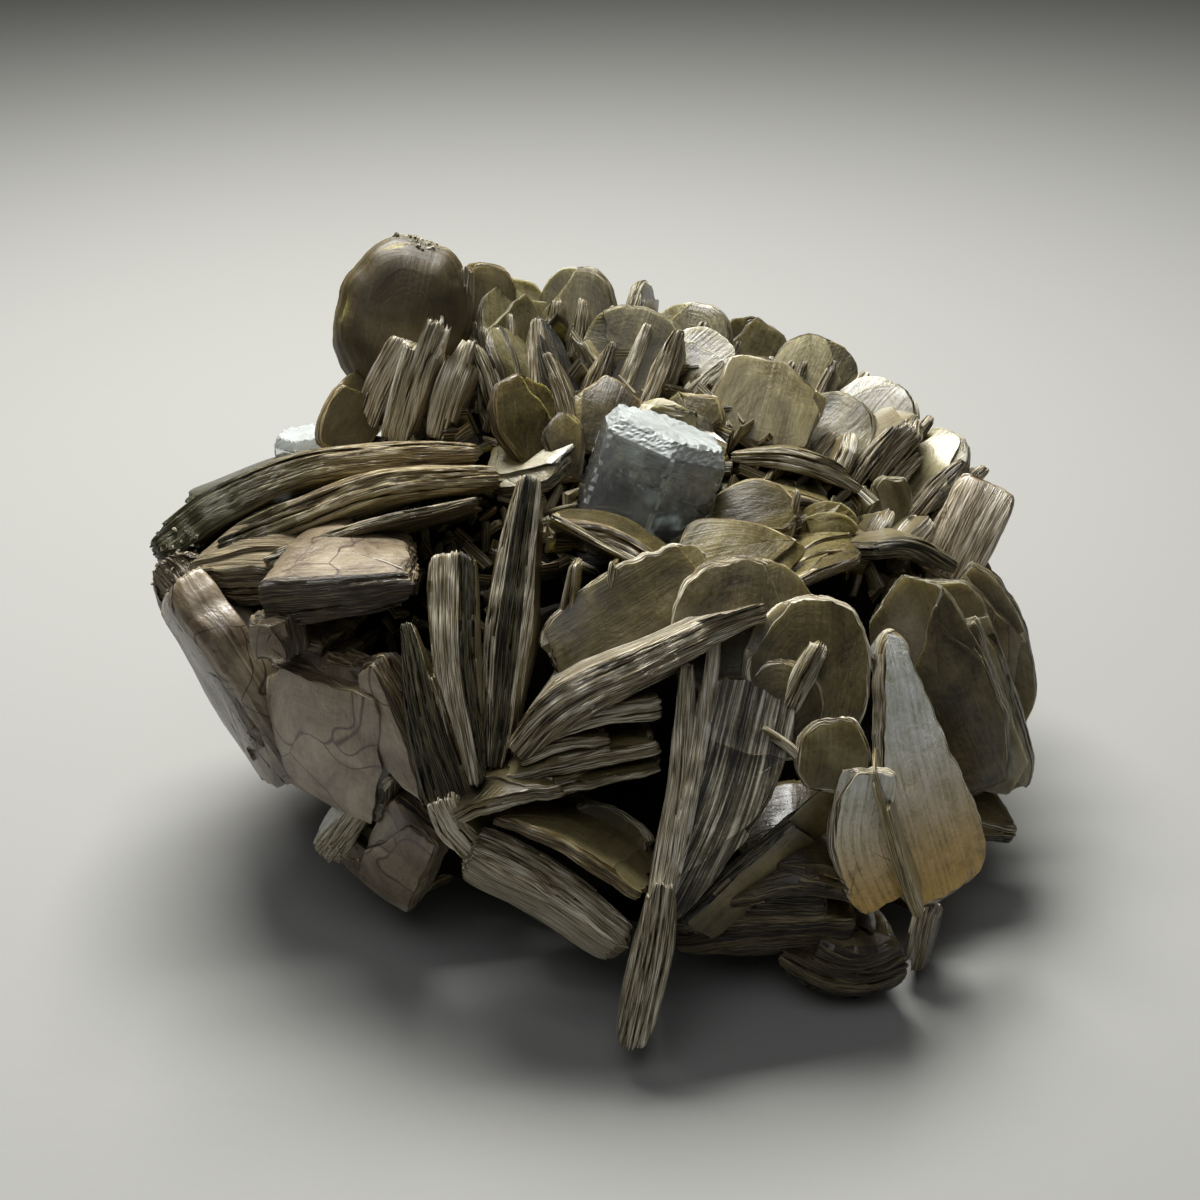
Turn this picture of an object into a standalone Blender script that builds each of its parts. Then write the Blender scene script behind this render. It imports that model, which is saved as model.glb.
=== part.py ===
"""Mica crystal specimen: a cluster of intergrown mica books with two beryl crystals.

Units are metres, +Z is up, and the flat underside lies at z = 0. Positions in the
lists below are millimetres. A book is a stack of thin mica sheets. Its path runs along
the stack, its side is the way the sheets run, and its thickness is across the sheets.
"""
import math
import random

import bmesh
import bpy
from mathutils import Matrix, Vector

MM = 0.001
GAP = 0.3                  # clear space round each beryl crystal
WELD = 0.000001            # metres
FLAT_DEGREES = (3.0, 2.5, 2.0, 1.5, 1.0, 0.5, 0.1)   # widest angle tried first
LOOK_AHEAD = 0.02          # share of a path over which its direction is taken

# books on the back and sides: height, first and last angle round the core, count
FILL_ROWS = (
    (7, 8, 195, 7),
    (16, 10, 200, 8),
    (25, 14, 180, 8),
    (32, 35, 165, 6),
    (37, 50, 150, 5),
)
FILL_SEED = 11
FILL_DEPTH = 5.0           # how far each one is rooted in the core
FILL_LENGTH = (6.0, 8.5)
FILL_WIDTH = (4.0, 6.5)    # each side of the path
FILL_THICK = (2.2, 4.6)
FILL_HIGH = 30.0           # books above this height are wider
FILL_WIDER = 1.25

# beryl prism: height of the slanting band round its top, and how far it draws in
BAND = 1.8
BAND_SHARE = 0.86
SOCKET_RISE = 30.0         # length of the socket past the crystal's top
GROUND_REACH = 80.0
GROUND_DEPTH = 30.0

# share of the full width at each station, from root to tip
PROFILES = {
    "slab": (0.82, 0.98, 1.0, 0.96, 0.78),
    "disc": (0.42, 0.84, 1.0, 1.0, 0.82, 0.40),
    "blade": (0.45, 0.62, 0.82, 1.0, 0.98, 0.62),
    "fan": (0.22, 0.50, 0.78, 1.0, 0.95, 0.60),
    "spear": (0.70, 0.95, 1.0, 0.82, 0.52, 0.14),
}
STEPS = {
    "slab": (0.0, 0.12, 0.5, 0.88, 1.0),
    "disc": (0.0, 0.17, 0.38, 0.62, 0.83, 1.0),
    "blade": (0.0, 0.20, 0.45, 0.70, 0.92, 1.0),
    "fan": (0.0, 0.25, 0.50, 0.74, 0.92, 1.0),
    "spear": (0.0, 0.20, 0.42, 0.66, 0.86, 1.0),
}

# root mass: outlines of the grown-together core, one ring of (x, y) per height
CORE = (
    (0.0, ((30, -10), (28, -24), (17, -28), (3, -25), (-12, -20), (-22, -12),
           (-26, 2), (-20, 16), (-8, 25), (8, 27), (22, 20), (29, 6))),
    (10.0, ((34, -8), (29, -21), (17, -25), (3, -24), (-12, -20), (-25, -14),
            (-30, 2), (-24, 18), (-9, 29), (9, 31), (26, 23), (34, 8))),
    (20.0, ((36, -3), (28, -14), (15, -19), (3, -19), (-10, -15), (-26, -14),
            (-36, -2), (-29, 18), (-10, 31), (10, 34), (30, 27), (37, 10))),
    (29.0, ((32, -2), (22, -8), (13, -12), (3, -14), (-8, -6), (-24, -8),
            (-39, -2), (-29, 15), (-12, 27), (8, 32), (27, 26), (34, 11))),
    (36.0, ((18, 9), (13, 10), (4, 10), (-4, 5), (-10, 5), (-20, 5),
            (-25, 8), (-23, 16), (-13, 26), (6, 31), (18, 27), (22, 17))),
    (42.0, ((8, 20), (5, 19), (0, 18), (-6, 16), (-12, 16), (-18, 15),
            (-21, 16), (-20, 20), (-14, 25), (-2, 29), (5, 29), (9, 25))),
)

# name, path, side, width before and behind the path, thickness on the path, profile
ARCH = (
    ("arch_top", ((-44.5, -6, 32.6), (-37, -2, 36.6), (-27, 1, 39.2), (-11, 3, 39.6)),
     (0.15, 1, 0.05), 0.5, 11, (4.5, 4.6, 3.8, 3), "slab"),
    ("arch_mid", ((-38, -8, 34.4), (-29, -7.4, 37.6), (-20, -5, 40), (-8.6, -3, 39.8)),
     (0.15, 1, -0.2), 0.5, 12, (4, 3.6, 3.6, 2.4), "slab"),
    ("arch_low", ((-32, -14, 36.2), (-24, -11, 37.8), (-10.5, -8, 39.8)),
     (0.2, 1, -0.1), 0.5, 12, (1.8, 1.4, 1.1), "slab"),
    ("arch_back", ((-40, 3, 31), (-34, 8, 32), (-28, 11, 33)),
     (0.1, 1, -0.1), 1, 9, (6, 5, 4), "slab"),
    ("arch_root", ((-40, -9, 31), (-34, -12, 33), (-28, -13, 33.6)),
     (0.2, 1, 0), 0.5, 12, (5, 6, 5), "slab"),
)
LEFT_FACE = (
    ("left_round", ((-31, -20, 35.2), (-24, -21, 36.3), (-15.8, -20, 37)),
     (0, 1, -0.15), 0.5, 17, (6.4, 5, 3.6), "slab"),
    ("left_lobe", ((-29.4, -20.2, 35), (-28.6, -20.8, 30)),
     (0.9, -0.3, 0), 2.4, 2.4, (4, 5), "slab"),
    ("left_ledge_a", ((-30, -18.6, 30.6), (-24.6, -20.4, 30.4)),
     (0, 1, -0.2), 0.8, 9, (1.6, 1.6), "slab"),
    ("left_ledge_b", ((-30.4, -18.4, 28.2), (-24.4, -20.6, 28)),
     (0, 1, -0.2), 1.2, 9, (1.4, 1.4), "slab"),
    ("left_facet", ((-24.4, -20, 30.6), (-24.6, -20.4, 23), (-25.4, -21, 14.6)),
     (0.82, -0.57, 0.04), 7, 8.6, (6, 7, 6), "slab"),
    ("left_facet_step", ((-21, -22.6, 31.6), (-17.6, -25.4, 25), (-16, -26.6, 18)),
     (0.8, -0.6, 0), 3, 2.8, (4, 5, 5), "slab"),
    ("left_facet_pale", ((-21.8, -23.4, 27.6), (-18.8, -25.6, 21.6)),
     (0.82, -0.57, 0.1), 2.6, 2.4, (2.2, 2.2), "slab"),
    ("left_low_blade", ((-18.6, -27, 22), (-22.8, -25, 15), (-26.8, -22.4, 8)),
     (0.3, 1, 0.2), 0.5, 8, (1.8, 2.6, 4.4), "slab"),
    ("left_low_plate", ((-15.4, -27.6, 18), (-18.2, -25.2, 11), (-20, -23, 4.4)),
     (0.85, -0.5, 0), 4, 3.4, (5, 5, 4), "slab"),
    ("left_low_back", ((-21, -21, 12), (-23, -19, 3)),
     (0.8, -0.6, 0), 4, 4, (5, 4), "slab"),
    ("wall_front", ((-42, -7, 31), (-37, -10.4, 23), (-30.6, -15, 11)),
     (0.62, -0.76, 0.1), 4.4, 8.6, (7, 7, 6), "slab"),
    ("wall_step", ((-37, -13, 30), (-33, -15.6, 23), (-29.6, -18, 16)),
     (0.62, -0.76, 0.1), 3.4, 3.4, (6, 6, 6), "slab"),
    ("wall_mid", ((-42.5, 0, 30), (-37, -3, 21), (-29, -6, 8)),
     (0.3, 0.95, 0.1), 6, 6, (6, 6, 6), "slab"),
    ("wall_back", ((-40, 9, 28), (-34, 7, 18), (-27, 4, 7)),
     (0.3, 0.9, 0.2), 6, 5, (5, 6, 5), "slab"),
)
UPRIGHTS = (
    ("upright_tall", ((-9.4, -30, 23), (-8.2, -23, 34), (-6.2, -14.5, 46.6)),
     (0, 0.82, -0.57), 0.4, 9, (2.2, 5.2, 2.6), "slab"),
    ("upright_pale", ((-10.6, -32, 23), (-12.6, -27, 33), (-12.8, -20.4, 41.6)),
     (0, 0.8, -0.6), 0.4, 5, (2, 4.2, 5), "slab"),
    ("upright_dark", ((-12.8, -32, 20.5), (-15.2, -28, 28), (-17.4, -22.3, 35.5)),
     (0, 0.8, -0.6), 0.4, 6, (5.2, 4.2, 1.3), "slab"),
    ("front_node", ((-14.5, -32, 23), (-12.5, -32.5, 19), (-9.5, -32.5, 15.5)),
     (0.2, 0.9, -0.1), 0.6, 10, (3, 4, 3), "slab"),
)
FRONT_FAN = (
    ("bow_book", ((-8, -30.4, 25.4), (-3, -29.6, 30.8), (5, -27, 33.6), (11, -24.6, 35.6),
                  (15.6, -22, 35.8)),
     (0.1, 0.9, -0.4), 0.5, 12, (2.6, 4.8, 4.2, 3.2, 2.4), "slab"),
    ("brown_plate", ((-5.4, -23, 31), (2.8, -19.6, 34.6), (10.6, -15.4, 37.6)),
     (-0.35, 0.55, 0.75), 5, 4, (2, 2, 1.6), "disc"),
    ("fan_a", ((-6, -29.5, 27.2), (0, -29, 29), (6.3, -27.5, 29)),
     (0, 1, -0.3), 0.5, 12, (1.4, 2.2, 2.8), "slab"),
    ("fan_b", ((-7.5, -30.5, 25), (-3, -29.8, 26.7), (1.5, -29, 26.6)),
     (0, 1, -0.2), 0.5, 11, (1.2, 1.7, 0.8), "slab"),
    ("fan_c", ((-9, -31, 23.8), (-2, -30.5, 25.2), (6, -29, 26)),
     (0, 1, -0.2), 0.5, 12, (1.4, 2.2, 1.6), "slab"),
    ("fan_d", ((-7, -31.5, 22.6), (-1, -31, 23.7), (6, -29.5, 24.4)),
     (0, 1, -0.2), 0.5, 12, (1.6, 1.8, 1.4), "slab"),
    ("fan_e", ((-13.4, -33, 21), (-9, -33.2, 23.2), (-2.6, -32, 23.3)),
     (0, 1, -0.15), 0.5, 13, (2.2, 2.6, 1.4), "slab"),
    ("fan_low", ((-10, -33, 21.3), (-4, -35, 20.2), (0.5, -36.6, 18), (4, -38, 15.6)),
     (0.25, 0.9, -0.3), 0.4, 11, (1.2, 1.7, 1.8, 1.4), "slab"),
    ("keel_plate", ((-11.5, -33, 19.4), (-5, -34.7, 16.5), (3.2, -38.3, 12)),
     (0, 0.4, -0.9), 0.6, 7, (3.4, 4, 3), "slab"),
    ("pocket_plate", ((-3, -28, 18.6), (5, -30, 15.6)),
     (0.1, 0.4, 0.9), 2, 2, (1.4, 1.4), "disc"),
    ("fork_left", ((7.6, -25.5, 33.4), (7.1, -29.5, 27.5), (6.2, -34, 21), (4.6, -39, 14)),
     (0.1, 0.8, -0.5), 0.5, 7, (1.7, 2, 2.3, 2.6), "slab"),
    ("fork_right", ((10.2, -23, 35.6), (9.1, -27.5, 29.3), (7.9, -32, 24), (5.6, -38, 15)),
     (0.1, 0.8, -0.5), 0.5, 7, (1.2, 1.8, 2, 2), "slab"),
    ("stem", ((5, -38.5, 16), (3.7, -41, 9), (2.5, -42, 2.3)),
     (0.1, 1, 0.15), 0.8, 2.6, (3, 3.2, 4), "slab"),
)
RIGHT_FRONT = (
    ("silver_fan", ((6, -37.5, 13.5), (10.8, -31.5, 21.5), (13.8, -25, 30.5)),
     (0.94, -0.18, -0.28), 4.5, 4.5, (2.4, 3, 2.4), "fan"),
    ("dark_plate", ((7, -36, 11.5), (14, -33, 17.5), (20.4, -31, 23)),
     (0.45, 0.35, -0.8), 1, 5, (1.6, 1.8, 1.2), "slab"),
    ("disc_a", ((12.5, -24.5, 27), (13, -20, 33), (13.6, -16.5, 38.4)),
     (1, 0.05, 0), 7, 7.2, (2.4, 2.4, 1.8), "disc"),
    ("disc_b", ((19, -28, 24), (19.6, -23.5, 30), (20, -19.5, 36.2)),
     (1, 0.1, -0.1), 7, 4.8, (2.2, 2.2, 1.6), "disc"),
    ("disc_c", ((14.5, -28.5, 24), (16, -26, 28), (17, -23.5, 32)),
     (1, 0, -0.1), 4, 4, (1.8, 1.8, 1.6), "disc"),
    ("disc_d", ((20, -31, 22), (20.5, -29.5, 25.5), (20.5, -27.5, 28.6)),
     (1, 0, -0.2), 3.6, 3.4, (1.6, 1.6, 1.6), "disc"),
    ("bright_end", ((16, -27, 26.5), (18, -25.4, 31), (19.6, -24.2, 34)),
     (0.1, 0.8, -0.5), 0.6, 6, (1.6, 2.6, 1.8), "slab"),
    ("short_rim", ((13.8, -28.6, 28), (16.6, -29.6, 26.4), (18.8, -30.4, 24.2)),
     (0.1, 0.8, -0.7), 0.5, 6, (0.9, 1.1, 0.9), "slab"),
    ("bright_plate", ((26, -19, 32.4), (29, -25.5, 19.5), (32.6, -28.5, 8.5)),
     (0.83, 0.5, 0.1), 5.4, 5.6, (2, 2, 2), "fan"),
    ("bright_low", ((23.6, -30, 25), (23, -32, 18), (26, -32.8, 11)),
     (0.9, 0.2, -0.1), 3, 3, (1.8, 1.8, 1.6), "slab"),
    ("yellow_rim", ((23.7, -31, 25.8), (26, -33.4, 18), (28.8, -34.2, 10.6)),
     (0.05, 1, 0.1), 0.6, 7, (1, 1.4, 1.6), "slab"),
    ("dark_shard", ((34.5, -20, 10), (38, -19, 8.8), (41.3, -18, 7.6)),
     (0.2, 1, 0), 0.6, 7, (1.4, 2.6, 3), "slab"),
)
RIGHT_SIDE = (
    ("hex_front", ((28, -9.5, 33.4), (33.4, -13.6, 22), (39.4, -17.6, 9.6)),
     (0.87, -0.12, 0.45), 5.4, 5, (3, 4, 3), "disc"),
    ("hex_step", ((31.6, -9.6, 30.4), (35.6, -13, 20.6), (40, -16, 10.4)),
     (0.87, -0.12, 0.45), 3, 4, (3.4, 4, 3.4), "slab"),
    ("hex_mid", ((33, -6.5, 31), (37.6, -10, 20.5), (41.8, -13.4, 8.6)),
     (0.87, -0.12, 0.4), 6, 4.2, (4, 5, 4), "disc"),
    ("hex_back", ((36, -1, 30), (40.6, -4, 19), (41.6, -8.5, 8.6)),
     (0.8, -0.2, 0.4), 6, 4, (5, 6, 5), "disc"),
    ("crescent", ((26.6, -6, 33), (31, -3.6, 32.2), (36.4, -2, 28.4)),
     (-0.1, 0.9, 0.1), 0.8, 8, (1.8, 2.6, 1.8), "slab"),
    ("right_mass", ((28, 4, 26), (34, 2, 19), (38, 0, 10)),
     (0.4, 0.9, 0.2), 6, 8, (6, 7, 6), "slab"),
    ("pale_blade", ((36, 3, 24.5), (38.6, 5.4, 29.6), (41.2, 8, 34)),
     (0.85, -0.35, -0.4), 3.6, 3.4, (4, 4.4, 3.4), "slab"),
    ("pale_blade_low", ((39, 3, 22), (40, 5, 27)),
     (0.85, -0.35, -0.3), 2.4, 2.4, (3, 3), "disc"),
    ("small_disc", ((30, 5.5, 28.6), (30.6, 8, 35)),
     (1, 0.2, 0), 2.4, 2.6, (1.6, 1.4), "disc"),
    ("striated_end", ((28.5, 12, 31), (31.5, 14, 34.6), (35.4, 16, 37.6)),
     (-0.2, 1, -0.3), 0.8, 8, (4.4, 5, 4), "slab"),
    ("small_edge_a", ((24.6, 9, 32), (26, 11, 35), (27.4, 13, 37.6)),
     (0, 1, -0.2), 0.6, 6, (2.4, 2.6, 1.8), "slab"),
    ("small_edge_b", ((26.6, -1, 29.6), (28.2, 1, 32), (30, 3, 33.6)),
     (0, 1, -0.3), 0.6, 7, (2, 2.6, 2), "slab"),
    ("small_edge_c", ((30.4, 0, 28), (32, 2.4, 30), (34.4, 4.6, 31.6)),
     (0, 1, -0.3), 0.6, 7, (2.4, 3, 2.4), "slab"),
)
MIDDLE = (
    ("lens_book", ((13, 8.4, 36.4), (19, 7, 37), (24, 6.4, 35.5), (27.6, 6, 33.6)),
     (0, 1, 0.05), 0.8, 7, (1.4, 2.4, 2.4, 1.4), "slab"),
    ("lens_under", ((12.6, 4, 32), (18, 3, 33.6), (25, 3.4, 32)),
     (0, 1, 0.3), 0.8, 9, (3, 3.4, 3), "slab"),
    ("wide_plate", ((16.4, 12, 35), (18, 16, 39), (19.4, 20, 43)),
     (1, -0.1, -0.15), 7.6, 7.2, (3, 3, 2.4), "disc"),
    ("amber_a", ((9, -0.5, 32.5), (15, 0.4, 34), (20.5, 0, 33.4)),
     (-0.1, 0.8, 0.5), 4.4, 4, (1.8, 1.8, 1.8), "disc"),
    ("amber_b", ((7.5, -8, 33), (14, -6.5, 33.4), (20, -8, 32)),
     (-0.1, 0.85, 0.45), 5, 4.5, (1.8, 1.8, 1.8), "disc"),
    ("amber_c", ((18, -7, 30), (22, -4.6, 32), (26.6, -4, 32)),
     (0.1, 0.9, -0.2), 0.8, 8, (2.2, 2.6, 2), "slab"),
    ("amber_d", ((17, -10, 30.6), (21.4, -8, 31.8), (26, -7, 33)),
     (0.1, 0.9, -0.2), 0.8, 8, (1.6, 2, 1.6), "slab"),
    ("amber_e", ((20, 1, 30), (23.6, 1.4, 32.6), (26, 1.4, 31)),
     (0, 0.6, 0.7), 3, 2.6, (3, 3, 3), "disc"),
    ("amber_left", ((-5.5, -9, 37), (0.5, -10, 36.6), (6, -13, 35)),
     (0.1, 0.9, -0.3), 1, 8, (3, 3, 2.4), "slab"),
    ("thin_rim", ((-5, -12, 40.4), (0, -13.6, 38.2), (4.8, -15, 36)),
     (0.1, 0.8, -0.7), 0.4, 6, (0.9, 1, 0.8), "slab"),
    ("thin_upright", ((18.8, -1, 31.5), (20, 1.2, 36.6)),
     (0.1, 0.9, -0.3), 0.4, 3, (1, 0.8), "slab"),
    ("splinter_a", ((-3.4, -21, 33), (-2.5, -19.5, 39.4)),
     (0.1, 0.8, -0.4), 0.4, 4, (1.6, 0.9), "slab"),
    ("splinter_b", ((0.6, -20, 34.4), (1.3, -18.2, 39)),
     (0.1, 0.8, -0.4), 0.4, 4, (1.6, 0.9), "slab"),
    ("gold_plate", ((-7.4, 5, 36.4), (-8, 8.6, 41), (-8.8, 12, 44.8)),
     (0.9, 0.2, -0.35), 3.6, 4, (2.4, 2.4, 1.8), "disc"),
    ("gold_under", ((-3.4, 4, 35), (-3.8, 7, 38.4), (-4.6, 10, 41)),
     (0.8, -0.1, -0.3), 2.4, 2.6, (2.4, 2.4, 2), "disc"),
    ("slate_blade", ((-3.2, 11, 38), (-5.2, 16, 43.4), (-7.4, 21.6, 48.6)),
     (0.5, 0.6, -0.4), 2, 4, (1.2, 1.4, 1), "spear"),
    ("behind_beryl", ((-2, 8.6, 36), (0.4, 13, 40), (1.6, 16, 42.4)),
     (0.9, -0.2, -0.2), 4, 4.6, (3, 3, 2), "disc"),
    ("beside_beryl", ((7, 11, 36), (10, 13.4, 39), (12, 15, 41.6)),
     (0.8, -0.4, -0.2), 4, 3.6, (3, 3, 2), "disc"),
)
CROWN = (
    ("knob", ((-23.5, 14, 40.5), (-20.8, 18, 48), (-18.4, 21, 56)),
     (1, 0.1, -0.25), 7.2, 7.2, (8.5, 9, 8), "disc"),
    ("knob_back", ((-14.6, 18, 41), (-13, 22, 47), (-11.6, 25, 52)),
     (0.9, 0.4, -0.2), 4.4, 4, (4, 4, 3), "disc"),
    ("knob_blade", ((-15.6, 15, 45), (-14.6, 17, 49.5), (-14.2, 18.6, 54)),
     (0.2, 0.9, -0.3), 0.4, 4, (1.6, 1.3, 0.7), "slab"),
    ("shoulder_a", ((-9.6, 17, 41), (-9.6, 21, 45.4), (-9.8, 24.4, 49.6)),
     (0.85, 0.3, -0.3), 4, 3.6, (3, 3, 2.4), "disc"),
    ("shoulder_b", ((-8, 12, 39), (-9, 15.4, 43.4), (-11, 18.6, 47)),
     (0.7, 0.5, -0.1), 3.6, 3.6, (2.4, 2.6, 2), "disc"),
    ("comb_a", ((-25.4, 9.6, 37), (-23, 11, 43), (-20, 12.4, 48.6)),
     (0.1, 0.9, -0.3), 0.6, 7, (2, 2.8, 2.8), "slab"),
    ("comb_b", ((-21.8, 8.4, 37), (-19.6, 10, 44), (-16.8, 12, 51)),
     (0.1, 0.9, -0.3), 0.6, 7, (2.4, 3, 3.2), "slab"),
    ("comb_c", ((-17, 8, 38), (-15.4, 10, 43.5), (-13.2, 13, 48.4)),
     (0.1, 0.9, -0.3), 0.6, 7, (2.2, 2.8, 2.4), "slab"),
    ("hump", ((-28.4, 7.6, 37), (-26.4, 10.5, 40.6), (-24, 13, 44)),
     (0.8, 0.3, -0.2), 2.6, 4, (3, 3, 2.4), "disc"),
    ("rim_disc", ((1, 17.6, 38.6), (3.6, 21, 43.2), (5.4, 23.6, 47.4)),
     (0.85, -0.25, -0.3), 4.8, 5, (3.2, 3.2, 2.8), "disc"),
    ("rim_edge", ((-2.4, 20.6, 45), (0, 18.8, 42), (3.6, 15.6, 38)),
     (0.2, 0.8, -0.1), 0.6, 5, (1.2, 1.6, 1.4), "slab"),
    ("crown_a", ((-4, 25, 40), (-2.6, 28, 45.2), (-2, 30.4, 49.8)),
     (0.9, 0.2, -0.2), 4, 4, (3.4, 3.4, 2.6), "disc"),
    ("crown_b", ((-10.4, 24, 40), (-9.4, 27.4, 44.6), (-9, 29.6, 48.6)),
     (0.8, -0.4, -0.2), 3.6, 3.6, (2.6, 2.6, 2), "disc"),
    ("crown_c", ((3, 25, 40), (4.6, 28.4, 44.4), (5.4, 30.6, 48)),
     (0.7, 0.6, -0.3), 3.8, 3.8, (2.6, 2.6, 2), "disc"),
    ("crown_d", ((8, 26, 37), (10.4, 29.6, 41.6), (12, 32, 45)),
     (0.9, -0.3, -0.2), 4.6, 4.6, (2.8, 2.8, 2.2), "disc"),
    ("crown_e", ((6.4, 19, 37), (10.4, 22.6, 41), (14, 25, 43.6)),
     (0.5, -0.5, -0.5), 3.8, 3.8, (2.6, 2.8, 2.4), "disc"),
    ("back_pale_a", ((15, 27, 33.5), (17.6, 30.6, 38), (20, 33.6, 41.6)),
     (0.9, -0.2, -0.2), 5, 5, (3, 3, 2.6), "disc"),
    ("back_pale_b", ((22, 25, 32), (24.6, 29, 36.6), (27, 32.4, 40.2)),
     (0.8, -0.5, -0.2), 4.6, 4.6, (3.4, 3.4, 2.6), "disc"),
    ("back_pale_c", ((27.6, 20, 30.5), (31, 23.6, 34.6), (34, 26, 37.4)),
     (0.6, -0.7, 0), 4.4, 4.6, (3.4, 3.4, 2.6), "disc"),
    ("back_pale_d", ((32, 13.6, 28), (36, 16.6, 31.8), (39.6, 18.6, 34.4)),
     (0.4, -0.8, 0.2), 4.4, 4.4, (3, 3.4, 2.6), "disc"),
    ("back_fill_a", ((12, 18, 34), (16, 22, 38), (18, 25, 41)),
     (0.8, -0.5, 0), 5, 5, (4, 4, 3), "disc"),
    ("back_fill_b", ((22, 14, 31), (26, 18, 35), (29, 20, 38)),
     (0.6, -0.6, 0.2), 5, 5, (4, 4, 3), "disc"),
)
LOWER_RIGHT = (
    ("base_block", ((6, -33, 7), (14, -33.5, 8.6), (24, -33, 8.6)),
     (0, 1, 0.05), 0.5, 11.6, (5.5, 8.6, 9.6), "slab"),
    ("base_round", ((16, -33, 6.6), (22.6, -34.6, 4.2), (28.8, -33, 4.6)),
     (-0.1, 1, 0.1), 1, 13, (5, 7.4, 7), "slab"),
    ("base_top", ((9, -34, 12.4), (18, -33.5, 14.4), (26, -32, 11)),
     (0.1, 1, 0.15), 1, 12, (3, 4.4, 3), "slab"),
    ("pale_column", ((29.6, -31, 1.6), (30.4, -30, 9)),
     (0.3, 0.9, 0), 0.8, 5, (2.6, 2.6), "slab"),
    ("base_right", ((30, -26, 5), (35, -18, 6.4), (37, -9, 7)),
     (-0.9, 0.3, 0.2), 1, 7, (7, 8, 8), "slab"),
)

# beryl crystals: centre of the base, way the prism stands, half width, length, turn
BERYL = (
    ("aquamarine", (2.6, 1.8, 29.2), (0.33, 0.20, 0.92), 7.2, 13.4, 33.0),
    ("small_beryl", (-31.6, 14.4, 27.6), (-0.05, 0.1, 1.0), 3.4, 8.6, 20.0),
)

# looks of each sub-part: base colour (linear), roughness, transmission
MICA_LOOK = ((0.16, 0.13, 0.07), 0.35, 0.0)
BERYL_LOOK = ((0.62, 0.78, 0.76), 0.08, 0.9)


def clear_scene():
    for obj in list(bpy.data.objects):
        bpy.data.objects.remove(obj, do_unlink=True)


def on_path(points, share):
    """Point at a share of the way along a smooth curve through the points."""
    if len(points) == 2:
        return points[0].lerp(points[1], share)
    spans = len(points) - 1
    at = min(share * spans, spans - 1e-6)
    i = int(at)
    t = at - i
    p1 = points[i]
    p2 = points[i + 1]
    p0 = points[i - 1] if i > 0 else p1 * 2 - p2
    p3 = points[i + 2] if i + 2 <= spans else p2 * 2 - p1
    a = p1 * 2
    b = (p2 - p0) * t
    c = (p0 * 2 - p1 * 5 + p2 * 4 - p3) * t * t
    d = (p1 * 3 - p0 - p2 * 3 + p3) * t * t * t
    return (a + b + c + d) * 0.5


def between(values, share):
    """Value at a share of the way along a list of even steps."""
    at = share * (len(values) - 1)
    i = min(int(at), len(values) - 2)
    return values[i] + (values[i + 1] - values[i]) * (at - i)


def book_corners(book):
    """Four corners of every cross-section of one book, from root to tip."""
    _, path, side, before, behind, thick, kind = book
    points = [Vector(p) for p in path]
    side = Vector(side)
    rings = []
    for share, width in zip(STEPS[kind], PROFILES[kind]):
        centre = on_path(points, share)
        after = on_path(points, min(share + LOOK_AHEAD, 1.0))
        earlier = on_path(points, max(share - LOOK_AHEAD, 0.0))
        ahead = (after - earlier).normalized()
        across = (side - ahead * side.dot(ahead)).normalized()
        normal = ahead.cross(across)
        half = between(thick, share) / 2
        near = centre - across * before * width
        far = centre + across * behind * width
        rings.append((near - normal * half, far - normal * half,
                      far + normal * half, near + normal * half))
    return rings


def closed_object(name, verts, faces):
    mesh = bpy.data.meshes.new(name)
    mesh.from_pydata([tuple(Vector(v) * MM) for v in verts], [], faces)
    bm = bmesh.new()
    bm.from_mesh(mesh)
    bmesh.ops.triangulate(bm, faces=bm.faces[:])
    bmesh.ops.recalc_face_normals(bm, faces=bm.faces[:])
    bm.to_mesh(mesh)
    bm.free()
    obj = bpy.data.objects.new(name, mesh)
    bpy.context.scene.collection.objects.link(obj)
    return obj


def make_book(book):
    rings = book_corners(book)
    verts = [corner for ring in rings for corner in ring]
    faces = [(0, 1, 2, 3)]
    for r in range(len(rings) - 1):
        a = r * 4
        for k in range(4):
            n = (k + 1) % 4
            faces.append((a + k, a + n, a + 4 + n, a + 4 + k))
    last = (len(rings) - 1) * 4
    faces.append((last, last + 1, last + 2, last + 3))
    return closed_object(book[0], verts, faces)


def make_core():
    """The grown-together middle that every book is rooted in."""
    verts = []
    faces = []
    count = len(CORE[0][1])
    for height, outline in CORE:
        verts += [(x, y, height) for x, y in outline]
    faces.append(tuple(range(count)))
    for r in range(len(CORE) - 1):
        a = r * count
        for k in range(count):
            n = (k + 1) % count
            faces.append((a + k, a + n, a + count + n, a + count + k))
    top = (len(CORE) - 1) * count
    faces.append(tuple(range(top, top + count)))
    return closed_object("mica_cluster", verts, faces)


def core_reach(angle, height):
    """Distance of the core's skin from the z axis, one way at one height."""
    low = CORE[0]
    high = CORE[-1]
    for a, b in zip(CORE, CORE[1:]):
        if a[0] <= height <= b[0]:
            low = a
            high = b
    t = (height - low[0]) / (high[0] - low[0])
    reach = []
    for ring in (low[1], high[1]):
        best = min(ring, key=lambda p: abs(math.remainder(math.atan2(p[1], p[0]) - angle, math.tau)))
        reach.append(math.hypot(*best))
    return reach[0] + (reach[1] - reach[0]) * t


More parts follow.
